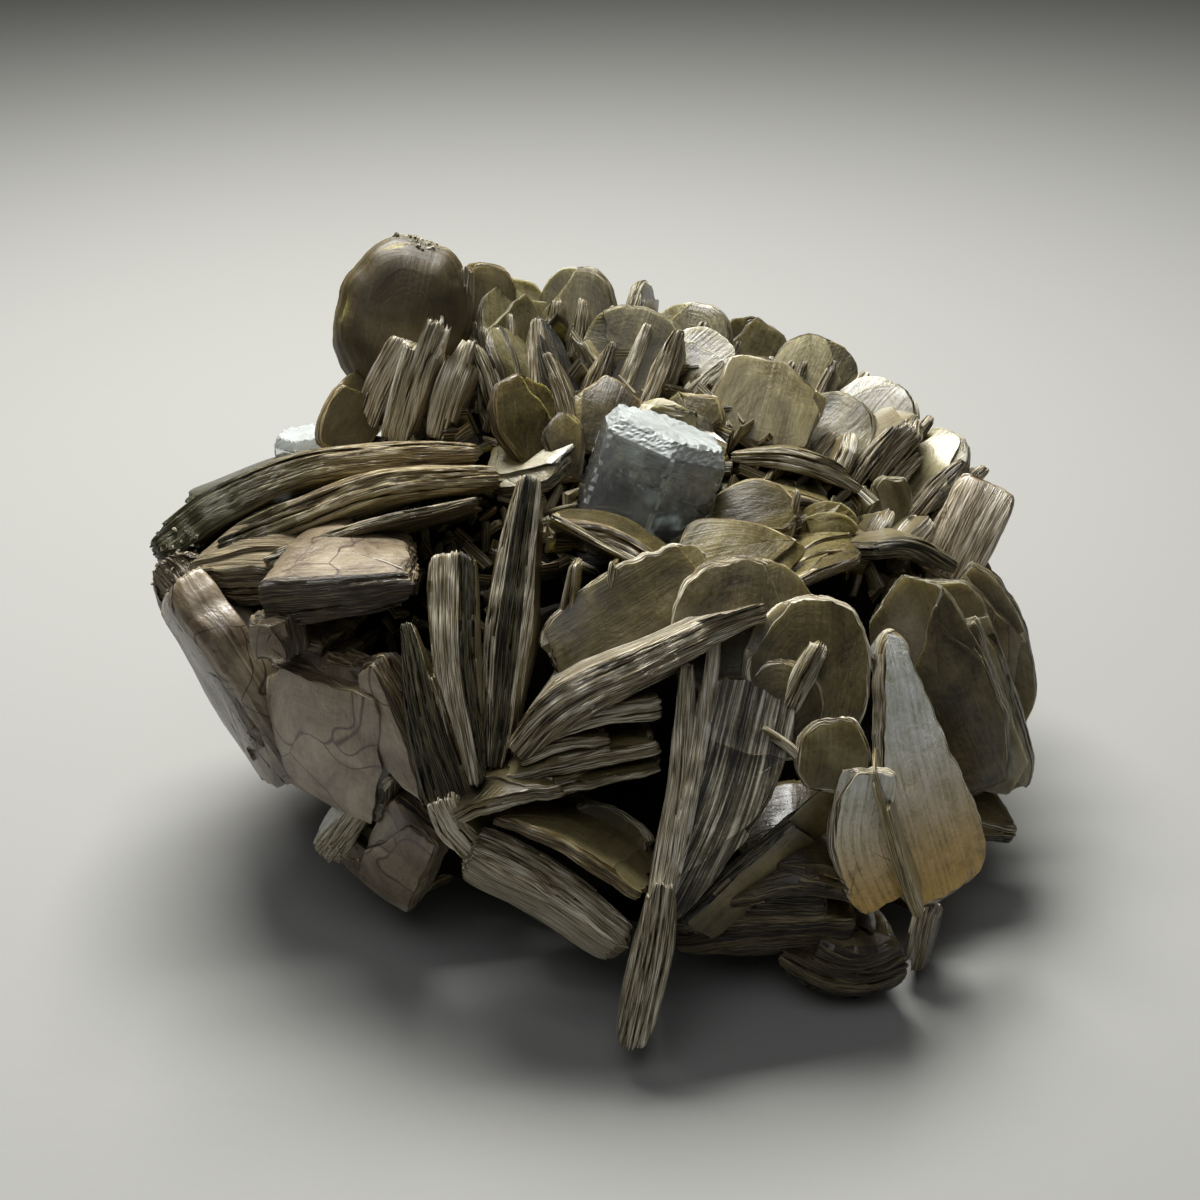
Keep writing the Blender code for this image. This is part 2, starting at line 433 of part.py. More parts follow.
def fill_books():
    """Books that cover the back and the sides, rooted in the core."""
    dice = random.Random(FILL_SEED)
    books = []
    for height, start, end, count in FILL_ROWS:
        for i in range(count):
            angle = math.radians(start + (end - start) * (i + dice.uniform(0.2, 0.8)) / count)
            reach = core_reach(angle, height) - FILL_DEPTH
            out = Vector((math.cos(angle), math.sin(angle), dice.uniform(-0.1, 0.5)))
            turn = Matrix.Rotation(dice.uniform(-0.6, 0.6), 3, "Z")
            out = (turn @ out).normalized()
            root = Vector((math.cos(angle) * reach, math.sin(angle) * reach, height))
            length = dice.uniform(*FILL_LENGTH)
            side = Vector((-math.sin(angle), math.cos(angle), dice.uniform(-1.2, 1.2)))
            width = dice.uniform(*FILL_WIDTH) * (FILL_WIDER if height > FILL_HIGH else 1.0)
            thick = dice.uniform(*FILL_THICK)
            path = (tuple(root), tuple(root + out * (length + 2)))
            books.append((f"fill_{height}_{i}", path, tuple(side), width, width,
                          (thick * 1.1, thick), dice.choice(("disc", "slab", "disc"))))
    return books


def make_prism(name, base, stand, half, length, turn):
    """Six-sided beryl prism with its top edges cut by narrow slanting faces."""
    up = Vector(stand).normalized()
    across = (Vector((1, 0, 0)) - up * up.x).normalized()
    frame = Matrix((across, up.cross(across), up)).transposed()
    verts = []
    levels = ((0.0, 1.0), (length - BAND, 1.0), (length, BAND_SHARE))
    for height, share in levels:
        for k in range(6):
            angle = math.radians(turn + 60 * k)
            local = Vector((math.cos(angle) * half * share, math.sin(angle) * half * share, height))
            verts.append(Vector(base) + frame @ local)
    faces = [tuple(range(6)), tuple(range(12, 18))]
    for r in (0, 6):
        for k in range(6):
            n = (k + 1) % 6
            faces.append((r + k, r + n, r + 6 + n, r + 6 + k))
    return closed_object(name, verts, faces)


def boolean(target, parts, operation):
    """Join a group of closed objects to the target, or cut them out of it."""
    group = bpy.data.collections.new(operation.lower())
    for part in parts:
        group.objects.link(part)
        part.hide_render = True
        part.display_type = "WIRE"
    mod = target.modifiers.new(operation.lower(), "BOOLEAN")
    mod.operation = operation
    mod.solver = "EXACT"
    mod.operand_type = "COLLECTION"
    mod.collection = group
    bpy.context.view_layer.update()
    graph = bpy.context.evaluated_depsgraph_get()
    result = bpy.data.meshes.new_from_object(target.evaluated_get(graph))
    target.modifiers.clear()
    old = target.data
    result.name = old.name
    target.data = result
    bpy.data.meshes.remove(old)
    for part in parts:
        bpy.data.objects.remove(part, do_unlink=True)
    bpy.data.collections.remove(group)


def make_socket(crystal):
    """Room for one beryl crystal, a little wider than the crystal and open upwards."""
    name, base, stand, half, length, turn = crystal
    up = Vector(stand).normalized()
    corner_gap = GAP / math.cos(math.radians(30))
    return make_prism(name + "_socket", Vector(base) - up * GAP, stand,
                      half + corner_gap, length + SOCKET_RISE, turn)


def make_ground():
    """Block that levels everything reaching under the resting plane."""
    r = GROUND_REACH
    square = ((-r, -r), (r, -r), (r, r), (-r, r))
    corners = [(x, y, z) for z in (-GROUND_DEPTH, 0) for x, y in square]
    faces = [(0, 1, 2, 3), (4, 5, 6, 7), (0, 1, 5, 4), (1, 2, 6, 5), (2, 3, 7, 6), (3, 0, 4, 7)]
    return closed_object("ground", corners, faces)


def merge_flats(bm, degrees):
    """Copy of a mesh in triangles, where faces meeting flatter than an angle are one."""
    flat = bm.copy()
    bmesh.ops.dissolve_limit(flat, angle_limit=math.radians(degrees), verts=flat.verts[:],
                             edges=flat.edges[:])
    bmesh.ops.triangulate(flat, faces=flat.faces[:])
    return flat


def shells(bm):
    """Faces of a mesh in connected groups, the largest first."""
    groups = []
    seen = set()
    for face in bm.faces:
        if face in seen:
            continue
        group = [face]
        seen.add(face)
        for item in group:
            for edge in item.edges:
                for other in edge.link_faces:
                    if other not in seen:
                        seen.add(other)
                        group.append(other)
        groups.append(group)
    return sorted(groups, key=len, reverse=True)


def outer_skin(obj):
    """Keep the outside in few triangles and drop sealed hollows between books."""
    bm = bmesh.new()
    bm.from_mesh(obj.data)
    bmesh.ops.remove_doubles(bm, verts=bm.verts[:], dist=WELD)
    spare = [face for group in shells(bm)[1:] for face in group]
    bmesh.ops.delete(bm, geom=spare, context="FACES")
    bmesh.ops.delete(bm, geom=[v for v in bm.verts if not v.link_faces], context="VERTS")
    for degrees in FLAT_DEGREES:
        flat = merge_flats(bm, degrees)
        if all(len(edge.link_faces) == 2 for edge in flat.edges):
            break
    flat.to_mesh(obj.data)
    flat.free()
    bm.free()


def give_material(obj, name, look):
    colour, rough, clear = look
    mat = bpy.data.materials.new(name)
    mat.use_nodes = True
    shader = mat.node_tree.nodes["Principled BSDF"]
    shader.inputs["Base Color"].default_value = (*colour, 1.0)
    shader.inputs["Roughness"].default_value = rough
    shader.inputs["Transmission Weight"].default_value = clear
    shader.inputs["IOR"].default_value = 1.57
    obj.data.materials.clear()
    obj.data.materials.append(mat)


def main():
    clear_scene()
    cluster = make_core()
    named = ARCH + LEFT_FACE + UPRIGHTS + FRONT_FAN + RIGHT_FRONT + RIGHT_SIDE
    named += MIDDLE + CROWN + LOWER_RIGHT
    boolean(cluster, [make_book(book) for book in list(named) + fill_books()], "UNION")
    boolean(cluster, [make_socket(crystal) for crystal in BERYL] + [make_ground()], "DIFFERENCE")
    outer_skin(cluster)
    give_material(cluster, "mica", MICA_LOOK)
    for name, base, stand, half, length, turn in BERYL:
        crystal = make_prism(name, base, stand, half, length, turn)
        give_material(crystal, "beryl", BERYL_LOOK)


main()
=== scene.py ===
"""Muscovite mica specimen: intergrown books of mica sheets round a pale aquamarine."""
import math
import random

import bpy
import numpy as np
from mathutils import Matrix, Vector


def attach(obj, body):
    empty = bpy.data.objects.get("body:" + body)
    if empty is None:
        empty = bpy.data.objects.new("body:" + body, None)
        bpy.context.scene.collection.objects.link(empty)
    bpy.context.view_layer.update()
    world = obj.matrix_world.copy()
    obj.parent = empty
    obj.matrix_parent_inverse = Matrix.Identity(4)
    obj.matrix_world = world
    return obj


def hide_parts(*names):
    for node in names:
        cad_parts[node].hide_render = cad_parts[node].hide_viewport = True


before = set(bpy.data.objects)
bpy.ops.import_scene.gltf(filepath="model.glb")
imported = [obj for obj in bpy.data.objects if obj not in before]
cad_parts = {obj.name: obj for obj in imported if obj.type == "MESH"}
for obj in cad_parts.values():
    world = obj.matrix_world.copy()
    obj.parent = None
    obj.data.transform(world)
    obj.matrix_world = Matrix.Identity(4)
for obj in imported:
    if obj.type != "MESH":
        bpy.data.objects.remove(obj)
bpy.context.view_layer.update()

MM = 0.001


# ---------------------------------------------------------------- camera, floor and light
# A light grey matt sheet to stand on, one soft window above and behind the specimen, and
# a weak fill, so that sheet edges shine and the hollows stay dark.

def linear(code):
    """sRGB hex colour as linear red, green, blue and alpha."""
    parts = [int(code[i:i + 2], 16) / 255 for i in (1, 3, 5)]
    return (*[c / 12.92 if c <= 0.04045 else ((c + 0.055) / 1.055) ** 2.4 for c in parts], 1.0)


def feed(tree, made, inputs):
    """Give a node its fixed values and its links."""
    for key, value in inputs.items():
        if isinstance(value, bpy.types.NodeSocket):
            tree.links.new(value, made.inputs[key])
        else:
            made.inputs[key].default_value = value


def node(tree, kind, inputs=None, **settings):
    """Add one node with its settings, its fixed values and its links."""
    made = tree.nodes.new(kind)
    for key, value in settings.items():
        setattr(made, key, value)
    feed(tree, made, inputs or {})
    return made


def object_place(tree):
    return node(tree, "ShaderNodeTexCoord").outputs["Object"]


def noise(tree, place, scale, detail=2.0, **more):
    """Outputs of a noise texture; more are its other inputs."""
    return node(tree, "ShaderNodeTexNoise", {
        "Vector": place, "Scale": scale, "Detail": detail, **more}).outputs


def bump(tree, height, distance, strength):
    """Surface direction for a height; distance in mm."""
    return node(tree, "ShaderNodeBump", {
        "Height": height, "Distance": distance * MM, "Strength": strength}).outputs["Normal"]


def material(name):
    """A new material with its tree and its shader, still to be set."""
    made = bpy.data.materials.new(name)
    made.use_nodes = True
    return made, made.node_tree, made.node_tree.nodes["Principled BSDF"]


def placed(name, data):
    """A new object that stands in the scene."""
    made = bpy.data.objects.new(name, data)
    bpy.context.scene.collection.objects.link(made)
    return made


def aim(obj, place, target):
    """Put an object at a place and turn it to a target, both in mm."""
    obj.location = Vector(place) * MM
    way = Vector(target) * MM - obj.location
    obj.rotation_euler = way.to_track_quat("-Z", "Y").to_euler()


camera = placed("camera", bpy.data.cameras.new("camera"))
camera.data.sensor_fit = "AUTO"
camera.data.angle = math.radians(40)
camera.data.clip_start = 0.01
aim(camera, (0, -147.9, 109.5), (0, -5, 27))
bpy.context.scene.camera = camera

floor_mesh = bpy.data.meshes.new("floor")
reach = 1.6
floor_mesh.from_pydata([(-reach, -reach, 0), (reach, -reach, 0), (reach, reach, 0), (-reach, reach, 0)],
                       [], [(0, 1, 2, 3)])
floor = placed("floor", floor_mesh)
paper, tree, shader = material("matt_paper")
feed(tree, shader, {
    "Base Color": linear("#9e9e9b"), "Roughness": 0.85,
    "Normal": bump(tree, noise(tree, object_place(tree), 900.0, 3.0)["Fac"], 0.1, 0.25)})
floor_mesh.materials.append(paper)

world = bpy.data.worlds.new("room")
world.use_nodes = True
feed(world.node_tree, world.node_tree.nodes["Background"], {
    "Color": linear("#dfe1e2"), "Strength": 0.06})
bpy.context.scene.world = world
bpy.context.scene.view_settings.view_transform = "Standard"

# name, place mm, target mm, size mm, watts, colour
for name, place, target, size, watts, colour in (
        ("window", (-45, 160, 340), (0, -40, 0), (230, 150), 2.75, "#fffefa"),
        ("room_fill", (-60, -170, 400), (0, -20, 20), (300, 300), 0.3, "#f9faff")):
    lamp = bpy.data.lights.new(name, "AREA")
    lamp.shape = "RECTANGLE"
    lamp.size, lamp.size_y = size[0] * MM, size[1] * MM
    lamp.energy = watts
    lamp.color = linear(colour)[:3]
    aim(placed(name, lamp), place, target)


# ---------------------------------------------------------------- arched books at the left
# Three thick curved books of muscovite that lean over a dark hollow. Each is a stack of
# thin sheets, grown together, so its side shows the golden-brown edges of the sheets.

# share of the full width at each station from root to tip, and where the stations lie
profiles = {
    "slab": ((0.0, 0.82), (0.12, 0.98), (0.5, 1.0), (0.88, 0.96), (1.0, 0.78)),
    "disc": ((0.0, 0.42), (0.17, 0.84), (0.38, 1.0), (0.62, 1.0), (0.83, 0.82), (1.0, 0.40)),
    "fan": ((0.0, 0.22), (0.25, 0.50), (0.5, 0.78), (0.74, 1.0), (0.92, 0.95), (1.0, 0.60)),
    "spear": ((0.0, 0.70), (0.2, 0.95), (0.42, 1.0), (0.66, 0.82), (0.86, 0.52), (1.0, 0.14)),
}

# beryl crystals: middle of the base mm, way the prism stands, half width, length, turn
beryls = {
    "aquamarine": ((2.6, 1.8, 29.2), (0.33, 0.20, 0.92), 7.2, 13.4, 33.0),
    "small_beryl": ((-31.6, 14.4, 27.6), (-0.05, 0.1, 1.0), 3.4, 8.6, 20.0),
}


def crystal_axes(stand):
    up = Vector(stand).normalized()
    across = (Vector((1, 0, 0)) - up * up.x).normalized()
    return np.array([across, up.cross(across), up])


def clear_of_beryl(points, gap=0.35):
    """Press any point that lies inside a beryl crystal out to the nearest of its faces."""
    for base, stand, half, _, turn in beryls.values():
        axes = crystal_axes(stand)
        local = (points - np.array(base)) @ axes.T
        middles = np.radians(turn + 30 + 60 * np.arange(6))
        ways = np.stack([np.cos(middles), np.sin(middles)], 1)
        depth = half * math.cos(math.radians(30)) + gap - local[:, :2] @ ways.T
        inside = (depth.min(1) > 0) & (local[:, 2] > -gap)
        side = depth.argmin(1)
        push = depth.min(1)
        low = inside & (local[:, 2] + gap < push)
        out = inside & ~low
        local[out, :2] += ways[side[out]] * push[out, None]
        local[low, 2] = -gap
        points = local @ axes + np.array(base)
    return points


def along_path(path, shares):
    """Points on a smooth curve through the path's points."""
    p = np.array(path, float)
    if len(p) == 2:
        return p[0] + (p[1] - p[0]) * shares[:, None]
    p = np.vstack([p[0] * 2 - p[1], p, p[-1] * 2 - p[-2]])
    at = np.minimum(shares * (len(p) - 3), len(p) - 3 - 1e-6)
    i = at.astype(int)
    t = (at - i)[:, None]
    a, b, c, d = p[i], p[i + 1], p[i + 2], p[i + 3]
    return 0.5 * (b * 2 + (c - a) * t + (a * 2 - b * 5 + c * 4 - d) * t ** 2
                  + (b * 3 - a - c * 3 + d) * t ** 3)


def round_corners(outline, times):
    for _ in range(times):
        ahead = np.roll(outline, -1, 0)
        outline = np.stack([outline * 0.78 + ahead * 0.22, outline * 0.22 + ahead * 0.78], 1)
        outline = outline.reshape(-1, 2)
    return outline


def even_steps(outline, count):
    """The closed outline again, with its points evenly spaced, and the spacing."""
    loop = np.vstack([outline, outline[:1]])
    run = np.concatenate([[0], np.cumsum(np.linalg.norm(np.diff(loop, axis=0), axis=1))])
    at = np.linspace(0, run[-1], count, endpoint=False)
    return np.stack([np.interp(at, run, loop[:, k]) for k in (0, 1)], 1), run[-1] / count


def ripple(dice, rows, count, reach):
    """Rows of smooth closed noise from 0 to 1, each bump about reach points long."""
    wave = np.fft.rfft(dice.random((rows, count)) - 0.5, axis=1)
    wave *= np.exp(-(np.arange(wave.shape[1]) * reach / count) ** 2)
    flat = np.fft.irfft(wave, count, axis=1)
    low, high = flat.min(1, keepdims=True), flat.max(1, keepdims=True)
    return (flat - low) / (high - low + 1e-9)


def skin(count, levels):
    """Quads between stacked rings of points, and triangles to one point at either end."""
    i = np.arange(count)
    j = (i + 1) % count
    r = np.arange(levels - 1)[:, None] * count
    quads = np.stack([r + i, r + j, r + count + j, r + count + i], -1).reshape(-1, 4)
    top, end = (levels - 1) * count, levels * count
    tris = np.concatenate([np.stack([j, i, np.full(count, end)], 1),
                           np.stack([top + i, top + j, np.full(count, end + 1)], 1)])
    return quads, tris


# every book: how far its faces wave, mm, how much they dome, and how often packs of sheets begin
face_wave, face_dome, pack_share = 0.14, 0.2, 0.28
# points along a path, round an outline with flat sides, and the fewest and most round a sheet
path_points, outline_points, fewest_points, most_points = 41, 90, 24, 150
# a face shows where a sheet ends this far inside the next, mm; from crease_step it meets sharply
shelf_step, crease_step = 0.6, 0.3
# sizes of the rings that close the first and the last sheet towards the middle
caps = (0.985, 0.78, 0.52, 0.26)


def grow_book(row, dice, page=0.16, step=0.6, side_rag=0.25, end_rag=0.9, breaks=3, groove=0.10,
              bulge=0.5, uneven=0.05, ends=9.0, facets=0, slots=(0, 1), bands=(), soft=False):
    """One book of mica sheets: verts, faces, slots, sheet coordinates and attributes.

    page is a sheet's thickness, step the spacing of points, side_rag and end_rag how far sheets
    stop short, bulge the rounding of the edges, all mm; breaks counts ledges, facets flat sides.
    """
    _, path, side, before, behind, thick, *kind = row
    kind = kind[0] if kind else "slab"
    shares = np.linspace(0, 1, path_points)
    line = along_path(path, shares)
    ahead = np.gradient(line, axis=0)
    ahead /= np.linalg.norm(ahead, axis=1, keepdims=True)
    across = np.array(side, float) - ahead * (ahead @ np.array(side, float))[:, None]
    across /= np.linalg.norm(across, axis=1, keepdims=True)
    normal = np.cross(ahead, across)
    run = np.concatenate([[0], np.cumsum(np.linalg.norm(np.diff(line, axis=0), axis=1))])
    length = run[-1]
    half = np.interp(shares, np.linspace(0, 1, len(thick)), thick) / 2
    half = half * (1 - np.abs(shares * 2 - 1) ** ends * 0.92) ** 0.5

    # outline of a whole sheet, its rounded corners and its slow unevenness
    shape = [(at * length, -before * width) for at, width in profiles[kind]]
    shape += [(at * length, behind * width) for at, width in reversed(profiles[kind])]
    rim = np.array(shape)
    if facets:
        rim = even_steps(rim, outline_points)[0]
        first = dice.uniform(0, math.tau)
        for k in range(facets):
            turn = first + k * math.tau / facets + dice.uniform(-0.3, 0.3)
            way = np.array([math.cos(turn), math.sin(turn)])
            over = (rim - rim.mean(0)) @ way
            rim = rim - np.maximum(over - over.max() * dice.uniform(0.70, 0.97), 0)[:, None] * way
    rim = round_corners(rim, 2)
    around = np.linalg.norm(np.roll(rim, -1, 0) - rim, axis=1).sum()
    count = int(min(max(around / step, fewest_points), most_points))
    rim, gap = even_steps(rim, count)
    tangent = np.roll(rim, -1, 0) - np.roll(rim, 1, 0)
    out = np.stack([tangent[:, 1], -tangent[:, 0]], 1)
    out /= np.linalg.norm(out, axis=1, keepdims=True) + 1e-9
    middle = rim.mean(0)
    if ((rim - middle) * out).sum() < 0:
        out = -out
    small = min(length, before + behind) / 2
    rim = rim + out * (ripple(dice, 1, count, 4)[0] - 0.6)[:, None] * small * uneven

    # every sheet ends a little short of it: packs of sheets together, torn ends, open splits
    pages = max(6, int(max(thick) / page)) + 1
    cuts = np.concatenate([[0], np.cumsum(dice.uniform(0.4, 1.6, pages - 1))])
    cuts = cuts / cuts[-1] * 2 - 1
    packs = np.cumsum(dice.random(pages) < pack_share)
    coarse = ripple(dice, packs[-1] + 1, count, 8)[packs]
    fine = ripple(dice, pages, count, 1.2)
    end = np.abs(out[:, 0]) ** 3
    short = dice.random(packs[-1] + 1)[packs][:, None] * 0.6 + dice.random((pages, 1)) * 0.4
    inward = side_rag * (0.72 * coarse + 0.28 * fine)
    inward += end_rag * end * (0.3 * coarse + 0.25 * fine + 0.45 * short)
    deep = dice.random(pages) < groove
    deep[[0, -1]] = False
    split = np.clip(ripple(dice, pages, count, 7) * 1.8 - 0.6, 0, 1)
    inward[deep] += min(0.8, small * 0.3) * split[deep]
    inward += min(bulge, max(thick) * 0.42) * (1 - np.sqrt(1 - np.abs(cuts) ** 3 * 0.98))[:, None]
    inward = np.minimum(inward, small * 0.6)
    rings = rim[None] - out[None] * inward[:, :, None]
    for top in (True, False):
        last = 0
        for _ in range(breaks):
            last += dice.integers(1, 4)
            if last > pages // 3:
                break
            turn = dice.integers(6) * math.pi / 3 + dice.uniform(-0.3, 0.3)
            way = np.array([math.cos(turn), math.sin(turn)])
            reach = ((rim - middle) @ way).max() * dice.uniform(0.35, 0.97)
            chosen = slice(pages - 1 - last, pages) if top else slice(0, last + 1)
            part = rings[chosen] - middle
            edge = reach + (ripple(dice, 1, count, 7) - 0.5) * small * 0.12
            over = np.maximum(part @ way - edge, 0)
            rings[chosen] = middle + part - over[:, :, None] * way

    low_caps = [middle + (rings[0] - middle) * c for c in reversed(caps)]
    high_caps = [middle + (rings[-1] - middle) * c for c in caps]
    flat = np.concatenate([low_caps, rings, high_caps])
    cap_rings = len(caps)
    level = np.concatenate([[-1] * cap_rings, cuts, [1] * cap_rings])
    total = len(flat)
    uv = np.concatenate([flat.reshape(-1, 2), [middle, middle]])
    lift = np.concatenate([np.repeat(level, count), [-1, 1]])
    u = np.clip(uv[:, 0], 0, length)
    v = uv[:, 1]

    def at(values):
        return np.stack([np.interp(u, run, values[:, k]) for k in range(3)], 1)

    a, b, c, d = dice.uniform(0, 6.28, 4)
    bend = face_wave * (np.sin(u / 4.1 + a) * np.sin(v / 3.3 + b) + 0.5 * np.sin(u / 1.9 + v / 2.3 + c)
                        + 0.35 * np.sin(v / 1.3 - u / 3.1 + d))
    off = (v - (behind - before) / 2) / (behind + before) * 2
    w = lift * np.interp(u, run, half) * (1 - face_dome * np.minimum(off ** 2, 1)) + bend
    points = at(line) + at(across) * v[:, None] + at(normal) * w[:, None]
    points += at(ahead) * (uv[:, 0] - u)[:, None]
    points[:, 2] = np.maximum(points[:, 2], 0)
    points = clear_of_beryl(points)

    quads, tris = skin(count, total)
    ring = np.repeat(np.arange(total - 1), count)
    moved = np.linalg.norm(uv[quads[:, 0]] - uv[quads[:, 3]], axis=1)
    last_edge = total - 1 - cap_rings
    cap = (ring < cap_rings) | (ring >= last_edge)
    shelf = cap | (moved > shelf_step)
    slot = np.full(len(quads), slots[1])
    share = (ring - cap_rings) / (last_edge - cap_rings)
    for start, stop, other in bands:
        slot[(share >= start) & (share < stop)] = other
    slot[shelf] = slots[0]
    slot = np.concatenate([slot, np.full(len(tris), slots[0])])
    smooth = soft | ~((ring == cap_rings - 1) | (ring == last_edge) | (~cap & (moved > crease_step)))
    smooth = np.concatenate([smooth, np.full(len(tris), True)])

    shift = dice.uniform(0, 400, 2)
    i = np.arange(count)
    s = np.stack([i * gap, (i + 1) * gap, (i + 1) * gap, i * gap], 1)
    s = np.tile(s, (total - 1, 1))
    side_uv = np.stack([s, w[quads]], -1)
    quad_uv = np.where(shelf[:, None, None], uv[quads], side_uv) + shift
    tri_uv = uv[tris] + shift
    tone = np.full(len(points), dice.random())
    leaf = np.concatenate([np.full(cap_rings, dice.random()), dice.random(pages),
                           np.full(cap_rings, dice.random())])
    leaf = np.concatenate([np.repeat(leaf, count), [leaf[0], leaf[-1]]])
    zone = np.concatenate([caps[::-1], np.ones(pages), caps])
    zone = np.concatenate([np.repeat(zone, count), [0, 0]]) * small
    return points, quads, tris, slot, smooth, quad_uv, tri_uv, tone, leaf, zone


def piece_from(name, grown, finishes):
    """Join grown books into one object that lies where its points say."""
    first = np.cumsum([0] + [len(b[0]) for b in grown[:-1]])
    quads = np.concatenate([b[1] + n for b, n in zip(grown, first)])
    tris = np.concatenate([b[2] + n for b, n in zip(grown, first)])

    def face_values(k):
        return np.concatenate([b[k][:len(b[1])] for b in grown] + [b[k][len(b[1]):] for b in grown])

    mesh = bpy.data.meshes.new(name)
    mesh.vertices.add(sum(len(b[0]) for b in grown))
    points = np.concatenate([b[0] for b in grown]) * MM
    mesh.vertices.foreach_set("co", points.astype(np.float32).ravel())
    corners = np.concatenate([quads.ravel(), tris.ravel()]).astype(np.int32)
    mesh.loops.add(len(corners))
    mesh.loops.foreach_set("vertex_index", corners)
    mesh.polygons.add(len(quads) + len(tris))
    starts = np.concatenate([np.arange(len(quads)) * 4, len(quads) * 4 + np.arange(len(tris)) * 3])
    mesh.polygons.foreach_set("loop_start", starts.astype(np.int32))
    mesh.polygons.foreach_set("material_index", face_values(3).astype(np.int32))
    mesh.polygons.foreach_set("use_smooth", face_values(4))
    sheet = mesh.uv_layers.new(name="sheet")
    sheet.data.foreach_set("uv", np.concatenate(
        [b[k].reshape(-1) for k in (5, 6) for b in grown]).astype(np.float32))
    for key, k in (("tone", 7), ("page", 8), ("zone", 9)):
        layer = mesh.attributes.new(key, "FLOAT", "POINT")
        layer.data.foreach_set("value", np.concatenate([b[k] for b in grown]).astype(np.float32))
    for finish in finishes:
        mesh.materials.append(finish)
    mesh.update(calc_edges=True)
    mesh.validate()
    return placed(name, mesh)


def part_of_cluster(piece):
    """Let a piece stand for the solid cluster, as mica that rests with it."""
    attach(piece, "root")
    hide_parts("mica_cluster")
    return piece


def mica_piece(name, rows, finishes, seed, looks=None, **common):
    """Grow a group of books, join them, and let them stand for the solid cluster."""
    dice = np.random.default_rng(seed)
    looks = looks or {}
    grown = [grow_book(row, dice, **{**common, **looks.get(row[0], {})}) for row in rows]
    return part_of_cluster(piece_from(name, grown, finishes))


def share_of(tree, value, start, stop, low=0.0, high=1.0, **settings):
    """Share of the way from start to stop, given as a value from low to high."""
    return node(tree, "ShaderNodeMapRange", {
        "Value": value, "From Min": start, "From Max": stop, "To Min": low, "To Max": high},
        **settings).outputs["Result"]


def mixed(tree, share, colour, other, **settings):
    """A colour mixed with another, which is given as hex."""
    return node(tree, "ShaderNodeMix", {
        "Factor": share, 6: colour, 7: linear(other)}, data_type="RGBA", **settings).outputs[2]


def added(tree, total, parts):
    """A total with each part added by its share."""
    for part, share in parts:
        total = node(tree, "ShaderNodeMath", {0: part, 1: share, 2: total},
                     operation="MULTIPLY_ADD").outputs[0]
    return total


def three_tones(tree, parts, start, stop, dark, body, light):
    """Parts added round one half, and turned into a colour from dark through body to light."""
    total = added(tree, 0.5 - sum(share for _, share in parts) / 2, parts)
    ramp = node(tree, "ShaderNodeValToRGB", {"Fac": total})
    tones = ramp.color_ramp.elements
    tones[0].position, tones[0].color = start, linear(dark)
    tones[1].position, tones[1].color = stop, linear(light)
    tones.new(0.5).color = linear(body)
    return ramp.outputs["Color"]


def stained(tree, colour, tint):
    """Multiply in a stain along one axis: tint is the axis, where it starts and stops, mm, colour."""
    axis, start, stop, stain = tint
    place = node(tree, "ShaderNodeSeparateXYZ", {"Vector": object_place(tree)}).outputs[axis]
    share = share_of(tree, place, start * MM, stop * MM, interpolation_type="SMOOTHSTEP")
    return mixed(tree, share, colour, stain, blend_type="MULTIPLY")


def sheet_place(tree):
    return node(tree, "ShaderNodeUVMap", uv_map="sheet").outputs["UV"]


def sheet_value(tree, key):
    """The page, tone or zone that the maker gave each point."""
    return node(tree, "ShaderNodeAttribute", attribute_name=key).outputs["Fac"]


def stretched(tree, uv, along, over, turn=0.0):
    """Sheet coordinates turned, and scaled along the sheets and across them."""
    return node(tree, "ShaderNodeMapping", {
        "Vector": uv, "Rotation": (0, 0, turn), "Scale": (along, over, 1.0)}).outputs["Vector"]


def wandering(tree, uv, drift, reach):
    """Sheet coordinates moved by a noise colour times a reach in mm."""
    return node(tree, "ShaderNodeVectorMath", {0: drift, 1: reach, 2: uv},
                operation="MULTIPLY_ADD").outputs["Vector"]


muscovite_ior = 1.58


def sheet_edges(name, dark, body, light, shine=0.33, lines=3.4, tint=None, own=None):
    """Broken edges of stacked muscovite sheets: silky threads along the stack, dark between; the pale
    threads and patches are partly real, partly painted highlight where sheets catch the light.
    """
    made, tree, shader = material(name)
    uv = sheet_place(tree)
    # threads wander by up to half a millimetre over two centimetres of their run
    slow = noise(tree, stretched(tree, uv, 0.05, 0.14), 1.0)["Color"]
    bent = wandering(tree, uv, slow, (0.0, 1.6, 0.0))
    # packs of sheets 2 mm deep, threads 0.2 to 0.5 mm apart, single sheets a third of that; their pale
    # tones are partly painted highlight
    pack, thread, single = [
        noise(tree, stretched(tree, bent, along, over), 1.0, detail, Roughness=0.62)["Fac"]
        for along, over, detail in (
            (0.035, 0.5, 3.0), (0.07, lines * 1.25, 4.0), (0.3, lines * 4.0, 2.0))]
    parts = ((pack, 1.2), (thread, 1.9), (single, 2.6), (sheet_value(tree, "page"), 0.22),
             (sheet_value(tree, "tone"), 0.24))
    colour = three_tones(tree, parts, 0.1, 0.92, dark, body, light)
    if tint:
        colour = stained(tree, colour, tint)
    feed(tree, shader, {
        "Base Color": colour, "Roughness": shine, "IOR": muscovite_ior,
        "Normal": bump(tree, added(tree, thread, ((single, 0.4),)), 0.45, 1.0), **(own or {})})
    return made


